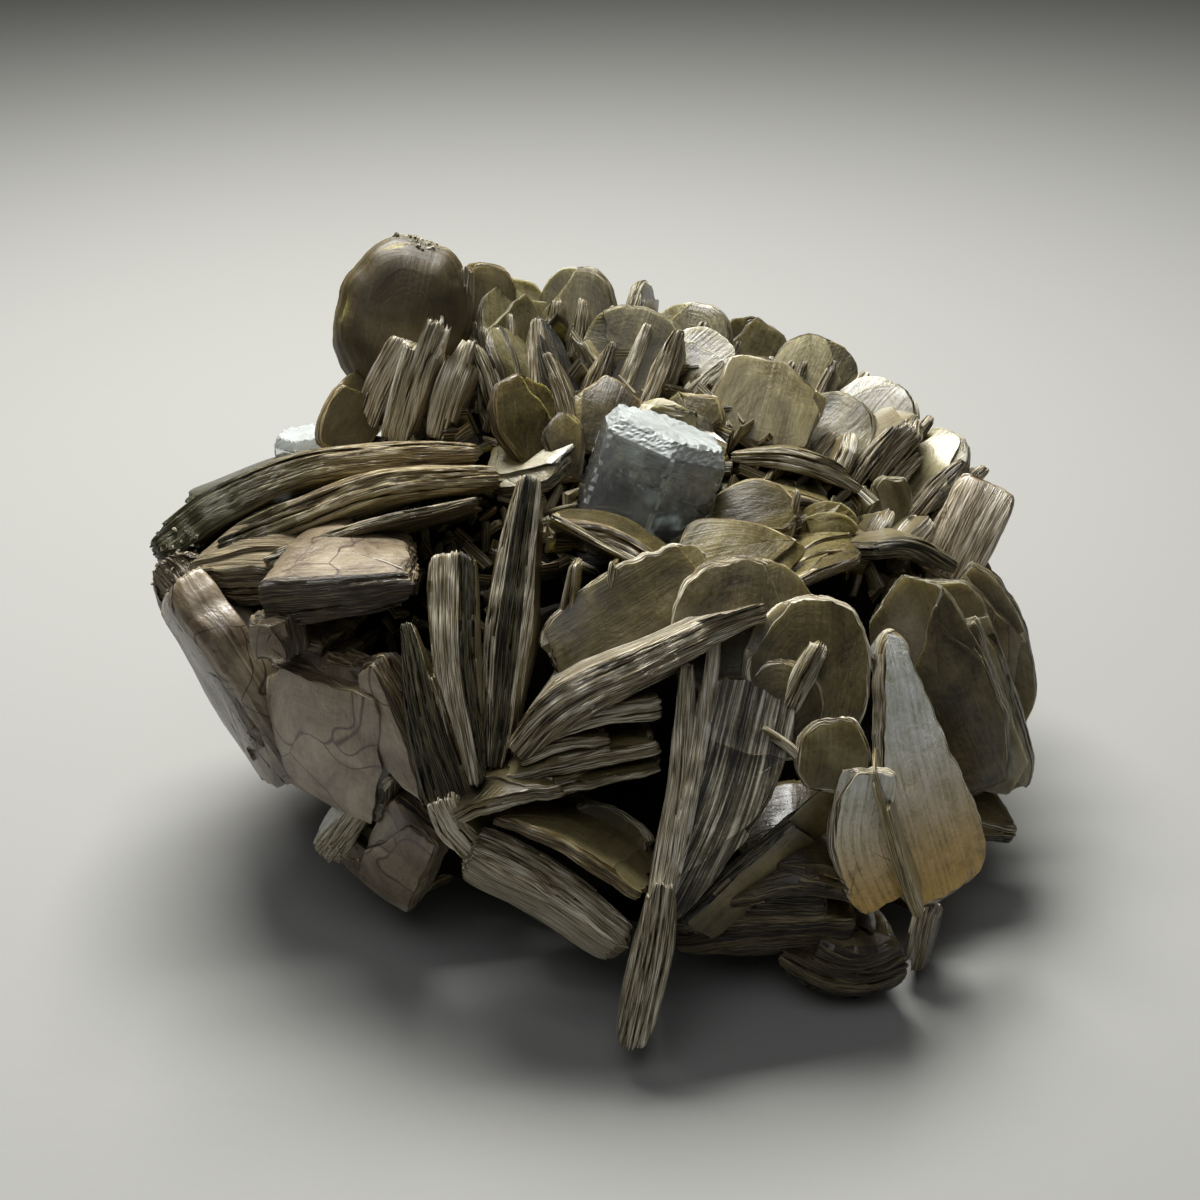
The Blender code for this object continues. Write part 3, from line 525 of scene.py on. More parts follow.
def cleavage(name, deep, body, pale, gloss=0.24, patch=0.16, scratch=0.35, crack=None, glow=0.0,
             streak=0.08, relief=0.6, tint=None, own=None):
    """Natural cleavage face of muscovite: pearly, glassy and faintly rippled, with scratches.

    crack is the colour of old cracks, and own holds shader values that only one finish has.
    """
    made, tree, shader = material(name)
    uv = sheet_place(tree)
    cloud = noise(tree, uv, patch, 6.0, Roughness=0.62, Distortion=0.6)["Fac"]
    fine = noise(tree, uv, 2.4, 6.0, Roughness=0.7)["Fac"]
    # growth lines 0.3 to 0.5 mm apart: some run along the book, more follow its outline
    lines = noise(tree, stretched(tree, uv, 0.06, 2.4), 1.0, 4.0, Roughness=0.7, Distortion=0.5)["Fac"]
    strayed = added(tree, sheet_value(tree, "zone"), ((cloud, 1.6),))
    ring = node(tree, "ShaderNodeTexNoise", {
        "W": strayed, "Scale": 1.5, "Detail": 4.0, "Roughness": 0.75},
        noise_dimensions="1D").outputs["Fac"]
    parts = ((sheet_value(tree, "page"), 0.30), (cloud, 1.2), (fine, 0.3), (lines, streak * 3),
             (ring, 0.22))
    colour = three_tones(tree, parts, 0.18, 0.88, deep, body, pale)
    # hair scratches from handling, 0.1 mm wide and several millimetres long
    hair = noise(tree, stretched(tree, uv, 0.35, 6.0, 0.5), 1.0, 3.0, Distortion=0.8)["Fac"]
    colour = mixed(tree, share_of(tree, hair, 0.64, 0.74, 0.0, scratch), colour, pale)
    if crack:
        # old cracks most of a centimetre apart that run in smooth curves
        sway = wandering(tree, uv, noise(tree, uv, 0.11, 1.0)["Color"], (16.0, 16.0, 0.0))
        cell = node(tree, "ShaderNodeTexVoronoi", {"Vector": sway, "Scale": 0.13, "Randomness": 1.0},
                    feature="DISTANCE_TO_EDGE").outputs["Distance"]
        colour = mixed(tree, share_of(tree, cell, 0.004, 0.022, 0.9, 0.0), colour, crack)
    if tint:
        colour = stained(tree, colour, tint)
    height = added(tree, cloud, ((lines, 0.15 + streak), (ring, 0.16)))
    # light soaks a few millimetres into the clear sheets and comes out warmer
    feed(tree, shader, {
        "Base Color": colour, "Normal": bump(tree, height, 0.5, relief),
        "Roughness": share_of(tree, fine, 0.3, 0.8, gloss, gloss + 0.22), "IOR": muscovite_ior,
        "Coat Weight": 0.25, "Coat Roughness": 0.12, "Subsurface Weight": glow,
        "Subsurface Radius": (1.0, 0.95, 0.6), "Subsurface Scale": 3.0 * MM, **(own or {})})
    return made


# muscovite cleavage, olive-brown: dark and glossy in the body, pearly where sheets lift
olive_face = cleavage("muscovite_cleavage_olive", "#2c2613", "#685d39", "#a39970", glow=0.35)
# sheet edges stained by iron: silky golden brown with pale threads
golden_edge = sheet_edges("muscovite_edges_golden", "#1a1207", "#6d5626", "#cdbf94")
olive_edge = sheet_edges("muscovite_edges_olive", "#15110a", "#554a2c", "#c3ba98")
pale_edge = sheet_edges("muscovite_edges_pale", "#33291a", "#8d7f58", "#ece5cd")

# name, path mm, side, width before and behind the path, thickness on the path, and a profile
# where it isn't a slab
arch_rows = (
    ("arch_top", ((-44.5, -6, 32.6), (-37, -2, 36.6), (-27, 1, 39.2), (-11, 3, 39.6)),
     (0.15, 0.87, -0.42), 0.5, 11, (4.5, 4.6, 3.8, 3)),
    ("arch_mid", ((-38, -8, 34.4), (-29, -7.4, 37.6), (-20, -5, 40), (-8.6, -3, 39.8)),
     (0.15, 0.87, -0.48), 0.5, 12, (4, 3.8, 3.8, 2.6)),
    ("arch_low", ((-32, -14, 36.2), (-24, -11, 37.8), (-10.5, -8, 39.8)),
     (0.2, 0.87, -0.5), 0.5, 12, (1.8, 1.4, 1.1)),
    ("arch_back", ((-40, 3, 31), (-34, 8, 32), (-28, 11, 33)),
     (0.1, 1, -0.1), 1, 9, (6, 5, 4)),
    ("arch_root", ((-40, -9, 31), (-34, -12, 33), (-28, -13, 33.6)),
     (0.2, 1, 0), 0.5, 12, (5, 6, 5)),
    ("arch_tip", ((-43.4, -6.4, 32.4), (-40, -8.6, 30), (-36, -11, 29.6)),
     (0.25, 0.87, -0.4), 0.8, 10, (5, 7.5, 6)),
)
grey_edge = sheet_edges("muscovite_edges_grey", "#1c140b", "#5c4c33", "#b5a684")
arch_edge = sheet_edges("muscovite_edges_arch", "#1d1408", "#7a602a", "#d9cca0",
                        tint=("X", -22, -38, "#7f8a7c"))
mica_piece("arch_books", arch_rows, (olive_face, arch_edge, pale_edge, grey_edge), 11, page=0.18,
           side_rag=0.5, end_rag=1.2, breaks=2, uneven=0.1, slots=(1, 1),
           looks={"arch_low": {"slots": (2, 2), "page": 0.12},
                  "arch_tip": {"slots": (3, 3), "soft": True, "bulge": 2.0},
                  "arch_root": {"slots": (3, 3)}})


# ---------------------------------------------------------------- faces at the far left
# Books turned flat side out: grey-beige cleavage faces, cracked through, with iron stain
# in the cracks and short ledges where sheets have broken away.
grey_face = cleavage("muscovite_cleavage_grey", "#352a1c", "#7a6b55", "#b5a890", patch=0.2,
                      crack="#3a2817", glow=0.3)
left_rows = (
    ("left_round", ((-31, -20, 35.2), (-24, -21, 36.3), (-15.8, -20, 37)),
     (0, 1, -0.15), 0.5, 17, (6.4, 5, 3.6)),
    ("left_lobe", ((-29.4, -20.2, 35), (-28.6, -20.8, 30)),
     (0.9, -0.3, 0), 2.4, 2.4, (4, 5)),
    ("left_ledge_a", ((-30, -18.6, 30.6), (-24.6, -20.4, 30.4)),
     (0, 1, -0.2), 0.8, 9, (1.6, 1.6)),
    ("left_ledge_b", ((-30.4, -18.4, 28.2), (-24.4, -20.6, 28)),
     (0, 1, -0.2), 1.2, 9, (1.4, 1.4)),
    ("left_facet", ((-24.4, -20, 30.6), (-24.6, -20.4, 23), (-25.4, -21, 14.6)),
     (0.82, -0.57, 0.04), 7, 8.6, (6, 7, 6)),
    ("left_facet_step", ((-21, -22.6, 31.6), (-17.6, -25.4, 25), (-16, -26.6, 18)),
     (0.8, -0.6, 0), 3, 2.8, (4, 5, 5)),
    ("left_facet_pale", ((-21.8, -23.4, 27.6), (-18.8, -25.6, 21.6)),
     (0.82, -0.57, 0.1), 2.6, 2.4, (2.2, 2.2)),
    ("left_low_blade", ((-18.6, -27, 22), (-22.8, -25, 15), (-26.8, -22.4, 8)),
     (0.3, 1, 0.2), 0.5, 8, (1.8, 2.6, 4.4)),
    ("left_low_plate", ((-15.4, -27.6, 18), (-18.2, -25.2, 11), (-20, -23, 4.4)),
     (0.85, -0.5, 0), 4, 3.4, (5, 5, 4)),
    ("left_low_back", ((-21, -21, 12), (-23, -19, 3)),
     (0.8, -0.6, 0), 4, 4, (5, 4)),
    ("wall_front", ((-41.4, -7.6, 31), (-35.6, -11.6, 22.4), (-28.6, -16.2, 10.4)),
     (0.62, -0.76, 0.1), 4.4, 8.6, (7, 7, 6)),
    ("wall_step", ((-37, -13, 30), (-33, -15.6, 23), (-29.6, -18, 16)),
     (0.62, -0.76, 0.1), 3.4, 3.4, (6, 6, 6)),
    ("wall_mid", ((-42.5, 0, 30), (-37, -3, 21), (-29, -6, 8)),
     (0.3, 0.95, 0.1), 6, 6, (6, 6, 6)),
    ("wall_back", ((-40, 9, 28), (-34, 7, 18), (-27, 4, 7)),
     (0.3, 0.9, 0.2), 6, 5, (5, 6, 5)),
)
mica_piece("left_faces", left_rows, (grey_face, grey_edge, pale_edge), 23, page=0.3, side_rag=0.4,
           looks={"left_low_blade": {"slots": (0, 2), "page": 0.16, "end_rag": 2.0},
                  "wall_front": {"slots": (0, 0), "facets": 5, "breaks": 7, "bulge": 2.4},
                  "wall_step": {"slots": (0, 0), "facets": 5, "breaks": 7, "bulge": 1.8},
                  "wall_mid": {"slots": (0, 0), "bulge": 2.0}, "left_facet": {"breaks": 8}})


# ---------------------------------------------------------------- upright blades
# Thin books seen edge on, dark where the sheets lie tight together and silvery where they
# have parted, the silver partly painted highlight; their tops are torn into splinters of uneven length.
dark_edge = sheet_edges("muscovite_edges_dark", "#070604", "#1d1910", "#7f775c", shine=0.25,
                        lines=4.2)
silver_edge = sheet_edges("muscovite_edges_silver", "#1d170b", "#94835a", "#f8f2dd", shine=0.3,
                          lines=3.6)
upright_rows = (
    ("upright_tall", ((-9.4, -30, 23), (-8.2, -23, 34), (-6.2, -14.5, 46.6)),
     (0, 0.82, -0.57), 0.4, 9, (2.2, 5.2, 2.6)),
    ("upright_pale", ((-10.6, -32, 23), (-12.6, -27, 33), (-12.8, -20.4, 41.6)),
     (0, 0.8, -0.6), 0.4, 5, (2, 4.2, 5)),
    ("upright_dark", ((-12.8, -32, 20.5), (-15.2, -28, 28), (-17.4, -22.3, 35.5)),
     (0, 0.8, -0.6), 0.4, 6, (5.2, 4.2, 1.3)),
    ("front_node", ((-14.5, -32, 23), (-12.5, -32.5, 19), (-9.5, -32.5, 15.5)),
     (0.2, 0.9, -0.1), 0.6, 10, (3, 4, 3)),
)
mica_piece("upright_blades", upright_rows, (olive_face, silver_edge, dark_edge), 31, page=0.13,
           step=0.5, side_rag=0.35, end_rag=2.2, groove=0.12, breaks=1,
           looks={"upright_tall": {"bands": ((0.22, 0.72, 2),)},
                  "upright_pale": {"bands": ((0.0, 0.34, 2),)},
                  "upright_dark": {"bands": ((0.12, 1.0, 2),)}})


# ---------------------------------------------------------------- fan of blades at the front
# Books that spread from one root like pages of an opened book, silver-beige on their
# edges, with a forked pale blade crossing them and a splintered stem under it.
fan_rows = (
    ("bow_book", ((-8, -30.4, 25.4), (-3, -29.6, 30.8), (5, -27, 33.6), (11, -24.6, 35.6),
                  (15.6, -22, 35.8)),
     (0.1, 0.9, -0.4), 0.5, 12, (2.6, 4.8, 4.2, 3.2, 2.4)),
    ("brown_plate", ((-5.4, -23, 31), (2.8, -19.6, 34.6), (10.6, -15.4, 37.6)),
     (-0.35, 0.55, 0.75), 5, 4, (2, 2, 1.6), "disc"),
    ("fan_a", ((-6, -29.5, 27.2), (0, -29, 29), (6.3, -27.5, 29)),
     (0, 1, -0.3), 0.5, 12, (1.4, 2.2, 2.8)),
    ("fan_b", ((-7.5, -30.5, 25), (-3, -29.8, 26.7), (1.5, -29, 26.6)),
     (0, 1, -0.2), 0.5, 11, (1.2, 1.7, 0.8)),
    ("fan_c", ((-9, -31, 23.8), (-2, -30.5, 25.2), (6, -29, 26)),
     (0, 1, -0.2), 0.5, 12, (1.4, 2.2, 1.6)),
    ("fan_d", ((-7, -31.5, 22.6), (-1, -31, 23.7), (6, -29.5, 24.4)),
     (0, 1, -0.2), 0.5, 12, (1.6, 1.8, 1.4)),
    ("fan_e", ((-13.4, -33, 21), (-9, -33.2, 23.2), (-2.6, -32, 23.3)),
     (0, 1, -0.15), 0.5, 13, (2.2, 2.6, 1.4)),
    ("fan_low", ((-10, -33, 21.3), (-4, -35, 20.2), (0.5, -36.6, 18), (4, -38, 15.6)),
     (0.25, 0.9, -0.3), 0.4, 11, (1.2, 1.7, 1.8, 1.4)),
    ("keel_plate", ((-11.5, -33, 19.4), (-5, -34.7, 16.5), (3.2, -38.3, 12)),
     (0, 0.4, -0.9), 0.6, 7, (3.4, 4, 3)),
    ("pocket_plate", ((-3, -28, 18.6), (5, -30, 15.6)),
     (0.1, 0.4, 0.9), 2, 2, (1.4, 1.4), "disc"),
    ("fork_left", ((7.6, -25.5, 33.4), (7.1, -29.5, 27.5), (6.2, -34, 21), (4.6, -39, 14)),
     (0.1, 0.8, -0.5), 0.5, 7, (1.7, 2, 2.3, 2.6)),
    ("fork_right", ((10.2, -23, 35.6), (9.1, -27.5, 29.3), (7.9, -32, 24), (5.6, -38, 15)),
     (0.1, 0.8, -0.5), 0.5, 7, (1.2, 1.8, 2, 2)),
    ("stem", ((5.4, -37.2, 18.4), (4.6, -39.6, 12.6), (3.6, -41.2, 7.6), (2.5, -42, 2.3)),
     (0.1, 0.9, -0.1), 0.8, 3, (2.2, 3.7, 3.8, 3.0)),
)
fork_edge = sheet_edges("muscovite_edges_white", "#51472f", "#bfb392", "#fffbee", lines=3.0)
mica_piece("front_fan", fan_rows, (olive_face, silver_edge, golden_edge, fork_edge), 41, page=0.13,
           step=0.5, side_rag=0.3, end_rag=1.3, breaks=1, uneven=0.1,
           looks={"fan_low": {"slots": (0, 2)},
                  "bow_book": {"slots": (1, 1), "ends": 14.0, "end_rag": 0.5},
                  "fork_left": {"slots": (3, 3)}, "fork_right": {"slots": (3, 3)},
                  "stem": {"slots": (3, 3), "end_rag": 2.0, "side_rag": 0.5},
                  "keel_plate": {"slots": (1, 1)},
                  "brown_plate": {"page": 0.16, "breaks": 6}})


# ---------------------------------------------------------------- plates at the right front
# Overlapping thin plates shown flat side up: translucent olive with bright thin rims, and
# a fan of silvery streaked sheets below them.
right_front_rows = (
    ("silver_fan", ((6, -37.5, 13.5), (10.8, -31.5, 21.5), (13.8, -25, 30.5)),
     (0.94, -0.18, -0.28), 4.5, 4.5, (2.4, 3, 2.4), "fan"),
    ("dark_plate", ((7, -36, 11.5), (14, -33, 17.5), (20.4, -31, 23)),
     (0.45, 0.35, -0.8), 1, 5, (1.6, 1.8, 1.2)),
    ("disc_a", ((12.5, -24.5, 27), (13, -20, 33), (13.6, -16.5, 38.4)),
     (1, 0.05, 0), 7, 7.2, (2.4, 2.4, 1.8), "disc"),
    ("disc_b", ((19, -28, 24), (19.6, -23.5, 30), (20, -19.5, 36.2)),
     (1, 0.1, -0.1), 7, 4.8, (2.2, 2.2, 1.6), "disc"),
    ("disc_c", ((14.5, -28.5, 24), (16, -26, 28), (17, -23.5, 32)),
     (1, 0, -0.1), 4, 4, (1.8, 1.8, 1.6), "disc"),
    ("disc_d", ((20, -31, 22), (20.5, -29.5, 25.5), (20.5, -27.5, 28.6)),
     (1, 0, -0.2), 3.6, 3.4, (1.6, 1.6, 1.6), "disc"),
    ("bright_end", ((16, -27, 26.5), (18, -25.4, 31), (19.6, -24.2, 34)),
     (0.1, 0.8, -0.5), 0.6, 6, (1.6, 2.6, 1.8)),
    ("short_rim", ((13.8, -28.6, 28), (16.6, -29.6, 26.4), (18.8, -30.4, 24.2)),
     (0.1, 0.8, -0.7), 0.5, 6, (0.9, 1.1, 0.9)),
    ("bright_plate", ((26, -19, 32.4), (29, -25.5, 19.5), (32.6, -28.5, 8.5)),
     (0.83, 0.5, 0.1), 5.4, 5.6, (2, 2, 2), "fan"),
    ("bright_low", ((23.6, -30, 25), (23, -32, 18), (26, -32.8, 11)),
     (0.9, 0.2, -0.1), 3, 3, (1.8, 1.8, 1.6)),
    ("yellow_rim", ((23.7, -31, 25.8), (26, -33.4, 18), (28.8, -34.2, 10.6)),
     (0.05, 1, 0.1), 0.6, 7, (1, 1.4, 1.6)),
    ("dark_shard", ((34.5, -20, 10), (38, -19, 8.8), (41.3, -18, 7.6)),
     (0.2, 1, 0), 0.6, 7, (1.4, 2.6, 3)),
)
streaked_face = cleavage("muscovite_cleavage_streaked", "#17140c", "#6b634c", "#dcd6c2",
                         gloss=0.26, scratch=0.5, glow=0.2, streak=1.1)
# near-white face: partly the pale silver of split sheets, partly painted reflection of the bright sky;
# gold stain towards its foot
painted_sheen_face = cleavage("muscovite_cleavage_bright", "#a8a684", "#e4e6d6", "#ffffff", gloss=0.2,
                       patch=0.5, scratch=0.6, streak=0.5, relief=1.0,
                       tint=("Z", 26, 10, "#e2b44c"))
mica_piece("right_front_plates", right_front_rows,
           (olive_face, silver_edge, dark_edge, streaked_face, painted_sheen_face, golden_edge), 53,
           step=0.5, side_rag=0.2, end_rag=0.6, breaks=4,
           looks={"silver_fan": {"slots": (3, 1)}, "dark_plate": {"slots": (0, 2)},
                  "bright_plate": {"slots": (4, 1), "breaks": 2},
                  "bright_low": {"slots": (4, 1)}, "yellow_rim": {"slots": (0, 5)},
                  "dark_shard": {"bands": ((0.0, 0.5, 2),)}})


# ---------------------------------------------------------------- six-sided plates, right side
# Broad pseudo-hexagonal books that step back along the right side; each broken sheet
# leaves a thin pale line that runs with the crystal's own outline.
hex_face = cleavage("muscovite_cleavage_brown", "#332c1c", "#776c4e", "#b0a78b", glow=0.4)
blade_edge = sheet_edges("muscovite_edges_cream", "#5e4f38", "#b8aa8e", "#f6efdf", lines=1.6)
right_rows = (
    ("hex_front", ((28, -9.5, 33.4), (33.4, -13.6, 22), (39.4, -17.6, 9.6)),
     (0.87, -0.12, 0.45), 5.4, 5, (3, 4, 3), "disc"),
    ("hex_step", ((31.6, -9.6, 30.4), (35.6, -13, 20.6), (40, -16, 10.4)),
     (0.87, -0.12, 0.45), 3, 4, (3.4, 4, 3.4)),
    ("hex_mid", ((33, -6.5, 31), (37.6, -10, 20.5), (41.8, -13.4, 8.6)),
     (0.87, -0.12, 0.4), 6, 4.2, (4, 5, 4), "disc"),
    ("hex_back", ((36, -1, 30), (40.6, -4, 19), (41.6, -8.5, 8.6)),
     (0.8, -0.2, 0.4), 6, 4, (5, 6, 5), "disc"),
    ("crescent", ((26.6, -6, 33), (31, -3.6, 32.2), (36.4, -2, 28.4)),
     (-0.1, 0.87, -0.36), 0.8, 8, (1.8, 2.6, 1.8)),
    ("right_mass", ((28, 4, 26), (34, 2, 19), (38, 0, 10)),
     (0.4, 0.9, 0.2), 6, 8, (6, 7, 6)),
    ("pale_blade", ((36, 3, 24.5), (38.6, 5.4, 29.6), (41.2, 8, 34)),
     (0.85, -0.35, -0.4), 3.6, 3.4, (4, 4.4, 3.4)),
    ("pale_blade_low", ((39, 3, 22), (40, 5, 27)),
     (0.85, -0.35, -0.3), 2.4, 2.4, (3, 3), "disc"),
    ("small_disc", ((30, 5.5, 28.6), (30.6, 8, 35)),
     (1, 0.2, 0), 2.4, 2.6, (1.6, 1.4), "disc"),
    ("striated_end", ((28.5, 12, 31), (31.5, 14, 34.6), (35.4, 16, 37.6)),
     (-0.2, 1, -0.3), 0.8, 8, (4.4, 5, 4)),
    ("small_edge_a", ((24.6, 9, 32), (26, 11, 35), (27.4, 13, 37.6)),
     (0, 1, -0.2), 0.6, 6, (2.4, 2.6, 1.8)),
    ("small_edge_b", ((26.6, -1, 29.6), (28.2, 1, 32), (30, 3, 33.6)),
     (0, 1, -0.3), 0.6, 7, (2, 2.6, 2)),
    ("small_edge_c", ((30.4, 0, 28), (32, 2.4, 30), (34.4, 4.6, 31.6)),
     (0, 1, -0.3), 0.6, 7, (2.4, 3, 2.4)),
)
mica_piece("right_side_plates", right_rows, (hex_face, olive_edge, blade_edge, silver_edge), 61,
           page=0.2, side_rag=0.2, end_rag=0.6, breaks=6, facets=5,
           looks={"pale_blade": {"slots": (2, 2), "facets": 0, "ends": 5.0},
                  "pale_blade_low": {"slots": (2, 2)}, "striated_end": {"slots": (0, 3)},
                  "small_edge_a": {"slots": (0, 3)}, "small_edge_b": {"slots": (0, 3)},
                  "small_edge_c": {"slots": (0, 3)}})


# ---------------------------------------------------------------- plates round the aquamarine
# Dark olive plates and small splinters that stand close round the beryl crystal, and the
# pale sheets that it grew on.
amber_face = cleavage("muscovite_cleavage_amber", "#1f190b", "#554b2a", "#978b5c", gloss=0.2,
                      glow=0.3, own={"Coat Weight": 0.0, "Specular IOR Level": 0.25})
middle_rows = (
    ("lens_book", ((13, 8.4, 36.4), (19, 7, 37), (24, 6.4, 35.5), (27.6, 6, 33.6)),
     (0, 0.87, -0.4), 0.8, 8, (1.6, 2.8, 2.8, 1.6)),
    ("lens_under", ((12.6, 4, 32), (18, 3, 33.6), (25, 3.4, 32)),
     (0, 0.9, -0.2), 0.8, 9, (3, 3.4, 3)),
    ("wide_plate", ((16.4, 12, 35), (18, 16, 39), (19.4, 20, 43)),
     (1, -0.1, -0.15), 7.6, 7.2, (3, 3, 2.4), "disc"),
    ("amber_a", ((9, -0.5, 32.5), (15, 0.4, 34), (20.5, 0, 33.4)),
     (-0.1, 0.8, 0.5), 4.4, 4, (1.8, 1.8, 1.8), "disc"),
    ("amber_b", ((7.5, -8, 33), (14, -6.5, 33.4), (20, -8, 32)),
     (-0.1, 0.85, 0.45), 5, 4.5, (1.8, 1.8, 1.8), "disc"),
    ("amber_c", ((18, -7, 30), (22, -4.6, 32), (26.6, -4, 32)),
     (0.1, 0.9, -0.2), 0.8, 8, (2.2, 2.6, 2)),
    ("amber_d", ((17, -10, 30.6), (21.4, -8, 31.8), (26, -7, 33)),
     (0.1, 0.9, -0.2), 0.8, 8, (1.6, 2, 1.6)),
    ("amber_e", ((20, 1, 30), (23.6, 1.4, 32.6), (26, 1.4, 31)),
     (0, 0.6, 0.7), 3, 2.6, (3, 3, 3), "disc"),
    ("amber_left", ((-5.5, -9, 37), (0.5, -10, 36.6), (6, -13, 35)),
     (0.1, 0.9, -0.3), 1, 8, (3, 3, 2.4)),
    ("thin_rim", ((-5, -12, 40.4), (0, -13.6, 38.2), (4.8, -15, 36)),
     (0.1, 0.8, -0.7), 0.4, 6, (0.9, 1, 0.8)),
    ("thin_upright", ((18.8, -1, 31.5), (20, 1.2, 36.6)),
     (0.1, 0.9, -0.3), 0.4, 3, (1, 0.8)),
    ("splinter_a", ((-3.4, -21, 33), (-2.5, -19.5, 39.4)),
     (0.1, 0.8, -0.4), 0.4, 4, (1.6, 0.9)),
    ("splinter_b", ((0.6, -20, 34.4), (1.3, -18.2, 39)),
     (0.1, 0.8, -0.4), 0.4, 4, (1.6, 0.9)),
    ("gold_plate", ((-7.4, 5, 36.4), (-8, 8.6, 41), (-8.8, 12, 44.8)),
     (0.9, 0.2, -0.35), 3.6, 4, (2.4, 2.4, 1.8), "disc"),
    ("gold_under", ((-3.4, 4, 35), (-3.8, 7, 38.4), (-4.6, 10, 41)),
     (0.8, -0.1, -0.3), 2.4, 2.6, (2.4, 2.4, 2), "disc"),
    ("slate_blade", ((-3.2, 11, 38), (-5.2, 16, 43.4), (-7.4, 21.6, 48.6)),
     (0.5, 0.6, -0.4), 2, 4, (1.2, 1.4, 1), "spear"),
    ("behind_beryl", ((-2, 8.6, 36), (0.4, 13, 40), (1.6, 16, 42.4)),
     (0.9, -0.2, -0.2), 4, 4.6, (3, 3, 2), "disc"),
    ("beside_beryl", ((7, 11, 36), (10, 13.4, 39), (12, 15, 41.6)),
     (0.8, -0.4, -0.2), 4, 3.6, (3, 3, 2), "disc"),
)
nest_rows = (
    ("nest_floor", ((-5.4, 1, 30.6), (2.6, 1, 27.8), (10.6, 1, 25)), (0, 1, -0.22), 7.6, 7.6,
     (1, 1, 1), "disc"),
    ("nest_back", ((-1, 10, 29), (1.8, 11.6, 34), (3.6, 12.8, 38.6)), (0.9, -0.15, -0.3), 6.4, 6.4,
     (1, 1, 1)),
    ("nest_right", ((10.6, 3.6, 27.4), (12, 5, 31), (13.4, 6.2, 34.6)), (0.35, -0.9, 0), 5, 5,
     (1, 1, 1)),
)
# the pale nest sheets under the aquamarine wear the same near-white face with its painted reflection
mica_piece("nest_sheets", nest_rows, (painted_sheen_face, silver_edge), 73, breaks=1)
mica_piece("middle_plates", middle_rows,
           (amber_face, golden_edge, silver_edge, olive_face, dark_edge), 71,
           side_rag=0.2, end_rag=0.6, facets=5,
           looks={"lens_book": {"slots": (3, 2), "facets": 0}, "lens_under": {"slots": (3, 1)},
                  "wide_plate": {"slots": (3, 2), "breaks": 6, "facets": 6},
                  "slate_blade": {"slots": (4, 4)},
                  "splinter_a": {"slots": (0, 2), "facets": 0},
                  "splinter_b": {"slots": (0, 2), "facets": 0},
                  "thin_rim": {"slots": (0, 2), "facets": 0},
                  "thin_upright": {"slots": (0, 2), "facets": 0}})


